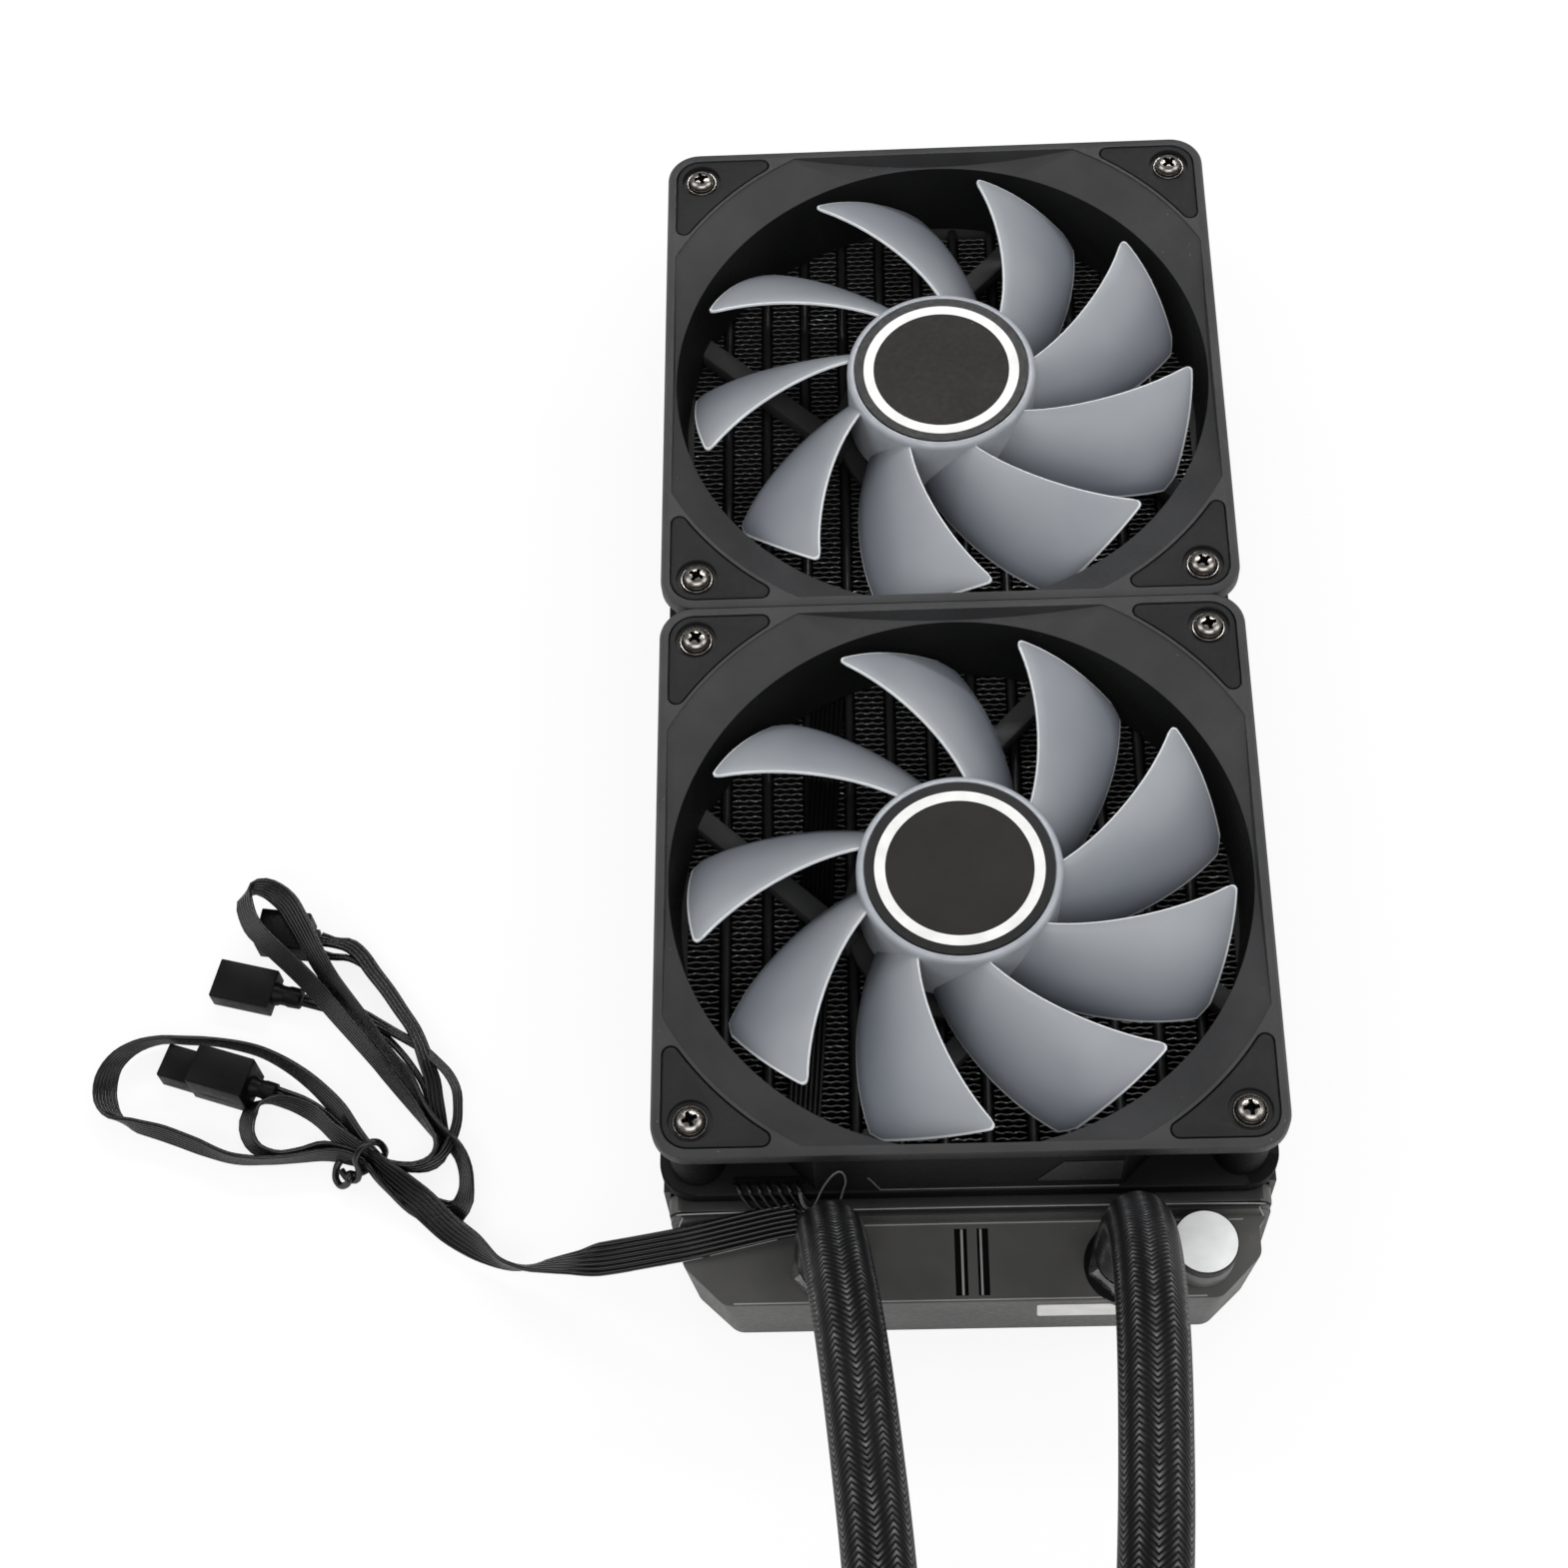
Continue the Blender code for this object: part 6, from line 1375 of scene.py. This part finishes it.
def make_tank(name, length):
    """End tank: tapered moulding under a folded header band, drawn at the far end."""
    body = plate(name, tank_outline(length), 0.0, TANK_TOP)
    low_x = 1.0 - 1.4 / 56.1
    for vert in body.data.vertices:
        if vert.co.z < 0.01:
            vert.co.x *= low_x
            if vert.co.y > HEADER_END:
                vert.co.y -= 1.4 * (vert.co.y - HEADER_END) / length
    body = bevel_chosen(body, 1.6, 4, lambda a, b: min(a.z, b.z) > TANK_TOP - 0.01)
    profile = rounded_box(HALF_WIDTH - 0.9, 13.5, 3.0, 8)
    bands = []
    for start, end, inset, edge in ((HEADER_START, HEADER_END - 0.9, 0.0, 0.5),
                                    (HEADER_END - 1.0, HEADER_END - 0.3, 0.55, 0.0),
                                    (HEADER_END - 0.4, HEADER_END + 0.4, 0.35, 0.15)):
        outline = [(x * (1 - inset / HALF_WIDTH), y * (1 - inset / 13.5)) for x, y in profile]
        band = plate("band", outline, start, end)
        if edge:
            band = round_edges(band, edge, 2, 60)
        bands.append(shift(shift(band, turn_deg=(-90.0, 0.0, 0.0)), (0.0, 0.0, 13.5)))
    return fuse(body, *bands)


def make_near_tank():
    """Hose end tank: port bosses and their holes, grooves between three ribs, and thin pale beads that
    stand for the light along its folds and edges."""
    tank = shift(make_tank("near_tank", NEAR_TANK_LENGTH), turn_deg=(0.0, 0.0, 180.0))
    front = -(HEADER_END + NEAR_TANK_LENGTH)
    bosses = []
    for side, x in PORT_XS.items():
        boss = rod("boss", BOSS_RS[side], TANK_TOP - 1.0, TANK_TOP + 0.8, 64, (x, PORT_Y))
        bosses.append(bevel_chosen(boss, 0.3, 2, lambda a, b: min(a.z, b.z) > TANK_TOP + 0.79))
    tank = fuse(tank, *bosses)
    tank.data.materials.append(MATERIALS["tank"])
    tank.data.materials.append(MATERIALS["recess"])
    cuts = []
    for left, right in RIB_GROOVES:
        groove = block("groove", (left, front + 1.3, TANK_TOP - 0.9),
                       (right, -HEADER_END - 2.0, TANK_TOP + 1.0))
        groove = bevel_chosen(groove, 0.16, 2,
                              lambda a, b: max(a.z, b.z) < TANK_TOP and abs(a.y - b.y) > 1.0)
        cuts.append(groove)
    holes = [(x, PORT_Y, PORT_HOLE_R) for x in PORT_XS.values()] + [(CAP_X, CAP_Y, 3.3)]
    for x, y, radius in holes:
        cuts.append(rod("socket", radius, 16.3, TANK_TOP + 2.0, 40, (x, y)))
    tank = tidy_skin(cut(tank, *cuts))
    tank.data.materials.append(MATERIALS["duct"])
    tank.data.materials.append(MATERIALS["rail"])
    # Painted shade: the header band's front faces in its fold take the duct's painted-shade black, and the
    # groove floors and port bosses' tops the near-black.
    for face in tank.data.polygons:
        middle = face.center
        if face.normal.z > 0.9 and middle.z > TANK_TOP + 2.0:
            face.material_index = 3
        on_band = -HEADER_END - 1.0 < middle.y < -HEADER_START - 1.0
        if face.normal.y < -0.5 and middle.z > TANK_TOP - 0.2 and on_band:
            face.material_index = 2
        in_groove = abs(middle.x) < 4.2 and middle.z < TANK_TOP - 0.2 and middle.z > TANK_TOP - 1.2
        at_port = any(math.hypot(middle.x - x, middle.y - PORT_Y) < BOSS_RS[side] + 0.01
                      for side, x in PORT_XS.items())
        in_groove = in_groove and front + 1.2 < middle.y < -HEADER_END - 1.9
        if in_groove or (at_port and middle.z > TANK_TOP + 0.1):
            face.material_index = 1
    # Painted highlights: two pale ridge strips on the ribs and three thin pale beads along the band, the
    # panel's back edge and the front edge stand for light.
    lines = []
    for left, right in ((-1.88, -1.42), (1.82, 2.23)):
        lines.append(block("ridge", (left, front + 1.4, TANK_TOP - 0.3),
                           (right, -HEADER_END - 2.2, TANK_TOP + 0.14)))
    for name, radius, knots in (
            ("band_line", 0.16, [(-56.6, -124.4, 25.6), (-55.6, -122.8, 26.6), (-52.0, -122.2, 26.9),
                                 (0.0, -121.9, 26.9), (52.0, -122.2, 26.9), (55.6, -122.8, 26.6),
                                 (56.6, -124.4, 25.6)]),
            ("panel_line", 0.16, [(-53.0, -123.9, TANK_TOP), (0.0, -123.7, TANK_TOP),
                                  (53.0, -123.9, TANK_TOP)]),
            ("front_line", 0.2, [(x, front + 0.5, TANK_TOP - 0.1) for x in (-46.0, 0.0, 45.0)])):
        lines.append(draw_wire(name, knots, radius, 2.0))
    for line in lines:
        line.data.materials.append(MATERIALS["tank_edge"])
    return smooth(gather("near_tank", [tank, *lines]), 32)


def make_fill_cap():
    """Filling port cap: grey body, dark ring over a groove, and a blank white disc on top."""
    bottom = TANK_TOP + 0.3
    top = bottom + 9.0
    body = turn("fill_cap", [
        (0.0, 16.6), (3.0, 16.6), (3.0, bottom), (6.1, bottom), (6.3, bottom + 0.2), (6.3, top - 3.4),
        (6.2, top - 3.2), (0.0, top - 3.2)], 96)
    body.data.materials.append(MATERIALS["cap_body"])
    rim = turn("cap_rim", [
        (0.0, top - 3.2), (5.7, top - 3.2), (5.7, top - 2.6), (6.3, top - 2.4), (6.4, top - 2.2),
        (6.4, top - 0.3), (6.32, top - 0.08), (6.2, top), (6.12, top - 0.1), (0.0, top - 0.1)], 96)
    rim.data.materials.append(MATERIALS["collar"])
    top_disc = turn("cap_disc", [(0.0, top - 0.1), (6.08, top - 0.1), (6.08, top - 0.03), (6.02, top),
                                 (0.0, top)], 96)
    top_disc.data.materials.append(MATERIALS["cap_top"])
    return smooth(shift(gather("fill_cap", [body, rim, top_disc]), (CAP_X, CAP_Y, 0.0)), 30)


def make_fitting():
    """Port fitting: threaded stub, chamfered hexagonal nut and hose barb, in a darkened copy of steel as
    painted shade, with one nut face in bright steel as a painted highlight.
    """
    nut = plate("nut", [polar(NUT_FLATS / math.sqrt(3), 17 + 60 * i) for i in range(6)], 23.4, 27.6)
    crown = turn("crown", [(0.0, 23.4), (7.2, 23.4), (7.9, 24.0), (7.9, 26.2), (6.4, 27.6), (0.0, 27.6)], 64)
    nut = finish_modifier(nut, "BOOLEAN", operation="INTERSECT", solver="EXACT", object=crown)
    bpy.data.objects.remove(crown)
    stem = turn("stem", [
        (0.0, 16.6), (3.6, 16.6), (3.6, 24.0), (4.0, 27.1), (4.0, 31.0), (3.5, 31.5), (4.0, 32.0),
        (4.0, 34.0), (3.5, 34.5), (4.0, 35.0), (4.0, 36.6), (3.2, 37.7), (0.0, 37.7)], 48)
    for piece in (nut, stem):
        piece.data.materials.append(MATERIALS["shaded_steel"])
        piece.data.materials.append(MATERIALS["steel"])
    # Painted highlight: nut faces turned to between 200 and 245 degrees take bright steel; the rest keeps the
    # painted shade.
    for face in nut.data.polygons:
        facing = math.degrees(math.atan2(face.normal.y, face.normal.x)) % 360
        if 200 < facing < 245 and face.normal.z < 0.95:
            face.material_index = 1
    return smooth(gather("fitting", [nut, stem]), 30)


def make_ferrule():
    """Dark ring that grips the hose end; the braid flares over the rest of it."""
    low = COLLAR_LOW
    profile = [(4.3, low), (6.0, low), (6.2, low + 0.3), (6.2, low + 4.8), (6.0, low + 5.2), (6.0, low + 5.9),
               (6.0, low + 10.9), (4.3, low + 10.9)]
    return smooth(turn("ferrule", profile, 64), 30)


def make_label():
    """Blank white label on the hose end tank's leaning front."""
    outline = rounded_corners([(12.5, 19.4), (41.4, 19.4), (41.4, 10.6), (12.8, 10.6)][::-1], 0.7, 4)
    label = plate("label", outline, 0.0, 0.12)
    label = shift(label, turn_deg=(90.0 + math.degrees(math.atan2(1.4, TANK_TOP)), 0.0, 0.0))
    return shift(label, (0.0, -(HEADER_END + NEAR_TANK_LENGTH) + 1.38, 0.0))


def make_link_ribbon():
    """The far fan's flat lead along the core, seven wires side by side, drifting to the left."""
    height = CORE_TOP + 0.3 + 0.47
    knots = [(-26.0, -4.0, height), (-27.3, -26.0, height), (-29.4, -62.0, height), (-31.8, -99.0, height),
             (-33.0, -CORE_HALF, height)]
    route, _, _ = smooth_route(knots, 2.0)
    facings = [Vector((0.0, 0.0, 1.0))] * len(route)
    return sweep("link_ribbon_wires", route, lead_section(7, 0.98, 0.47), facings)


def make_radiator():
    """Core, tanks, cap, ports and label."""
    make_core()
    settle(make_near_tank(), None, replaces=["near_end_tank"])
    far = smooth(tidy_skin(make_tank("far_tank", FAR_TANK_LENGTH)), 32)
    settle(far, MATERIALS["tank"], replaces=["far_end_tank"])
    settle(make_fill_cap(), None, replaces=["fill_port_cap"])
    fitting = make_fitting()
    ferrule = make_ferrule()
    for side, x in PORT_XS.items():
        settle(copy(fitting, f"{side}_fitting", (x, PORT_Y, 0.0)), None,
               replaces=[f"{side}_port_fitting"])
        settle(copy(ferrule, f"{side}_ferrule", (x, PORT_Y, 0.0)), MATERIALS["collar"],
               replaces=[f"{side}_hose_ferrule"])
    for piece in (fitting, ferrule):
        bpy.data.objects.remove(piece)
    settle(make_label(), MATERIALS["label"])
    settle(make_link_ribbon(), MATERIALS["lead"], replaces=["link_ribbon"])


# Pump head

def make_pump():
    """Pump head: square foot, ribbed barrel and domed cover."""
    foot = plate("pump_body", rounded_box(31.0, 31.0, 12.0, 12), 3.3, 10.3)
    foot = round_edges(foot, 0.8, 3, 50)
    barrel = rod("barrel", PUMP_R, 9.3, 31.0, 128)
    body = fuse(foot, barrel)
    flats = block("flats", (-22.0, PUMP_R - 6.0, 11.5), (22.0, PUMP_R + 1.0, 32.0))
    cuts = [flats]
    cuts.append(turn("chamber", [(0.0, 2.3), (14.5, 2.3), (14.5, 14.3), (7.2, 14.3), (7.2, 26.0), (1.3, 26.0),
                                 (1.3, 28.0), (0.0, 28.0)], 64))
    cuts.append(turn("pocket", [(8.5, 16.3), (19.3, 16.3), (19.3, 32.0), (8.5, 32.0)], 64))
    for sign in (-1, 1):
        socket = rod("socket", 3.9, -1.0, 7.3, 40)
        cuts.append(shift(shift(socket, turn_deg=(90.0, 0.0, 0.0)), (sign * 13.0, PUMP_R - 6.0, 20.0)))
    body = cut(body, *cuts)
    body = smooth(tidy_skin(body), 32)
    settle(shift(body, (0.0, PUMP_Y, 0.0)), MATERIALS["pump"], replaces=["pump_housing"])
    profile = [(0.0, 10.0), (28.0, 10.0), (31.0, 8.5), (31.0, 0.0), (PUMP_R - 0.2, 0.0), (PUMP_R, 0.2),
               (PUMP_R, 2.2), (PUMP_R - 0.5, 2.5), (PUMP_R - 0.5, 3.1), (PUMP_R, 3.4)]
    profile += [(PUMP_R - 3.0 + x, 9.0 + z) for x, z in arc((0.0, 0.0), 3.0, 0, 90, 8)]
    profile += [(24.0, 12.0), (23.6, 11.7), (23.0, 11.7), (22.6, 12.0), (0.0, 12.0)]
    cover = smooth(turn("pump_cap", profile, 128), 30)
    settle(shift(cover, (0.0, PUMP_Y, 31.3)), MATERIALS["pump"], replaces=["pump_cover"])
    reach = 11.0
    nut = plate("nut", [polar(12.0 / math.sqrt(3), 60 * i) for i in range(6)], 0.3, reach)
    nut = round_edges(nut, 0.4, 2, 30)
    stem = turn("stem", [(0.0, -7.0), (3.6, -7.0), (3.6, reach - 1.0), (6.9, reach - 1.0), (7.2, reach - 0.7),
                         (7.2, reach + 4.0), (6.95, reach + 4.3), (6.7, reach + 4.8), (6.95, reach + 5.3),
                         (7.2, reach + 5.6), (7.2, reach + 10.0), (6.9, reach + 10.6), (6.4, reach + 11.0),
                         (0.0, reach + 11.0)], 64)
    stem.data.materials.append(MATERIALS["collar"])
    nut.data.materials.append(MATERIALS["steel"])
    fitting = shift(smooth(gather("pump_fitting", [nut, stem]), 30), turn_deg=(-90.0, 0.0, 0.0))
    for side, sign in (("left", -1), ("right", 1)):
        place = (sign * 13.0, PUMP_Y + PUMP_R - 6.0, 20.0)
        settle(copy(fitting, f"pump_{side}_connection", place), None, replaces=[f"pump_{side}_fitting"])
    bpy.data.objects.remove(fitting)


# Finishes of the part's own pieces that stay as they are

CARRIED = {
    "rail": ["right_side_rail", "left_side_rail"],
    "ferrite": ["near_fan_magnet_ring", "far_fan_magnet_ring"],
    "steel": ["near_fan_shaft", "far_fan_shaft", "pump_shaft"],
    "bronze": ["near_fan_bearing", "far_fan_bearing"],
    "winding": ["near_fan_stator", "far_fan_stator", "pump_stator"],
    "copper": ["cold_plate"],
    "pump": ["pump_impeller"],
}


def dress_carried():
    """Node materials for the pieces shown with the part's own meshes."""
    for key, names in CARRIED.items():
        for name in names:
            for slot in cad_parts[name].material_slots:
                slot.material = MATERIALS[key]


bpy.context.scene.view_settings.view_transform = "Standard"
aim_camera()
lay_floor()
light_studio()
make_cords()
make_fans()
make_radiator()
make_pump()
dress_carried()
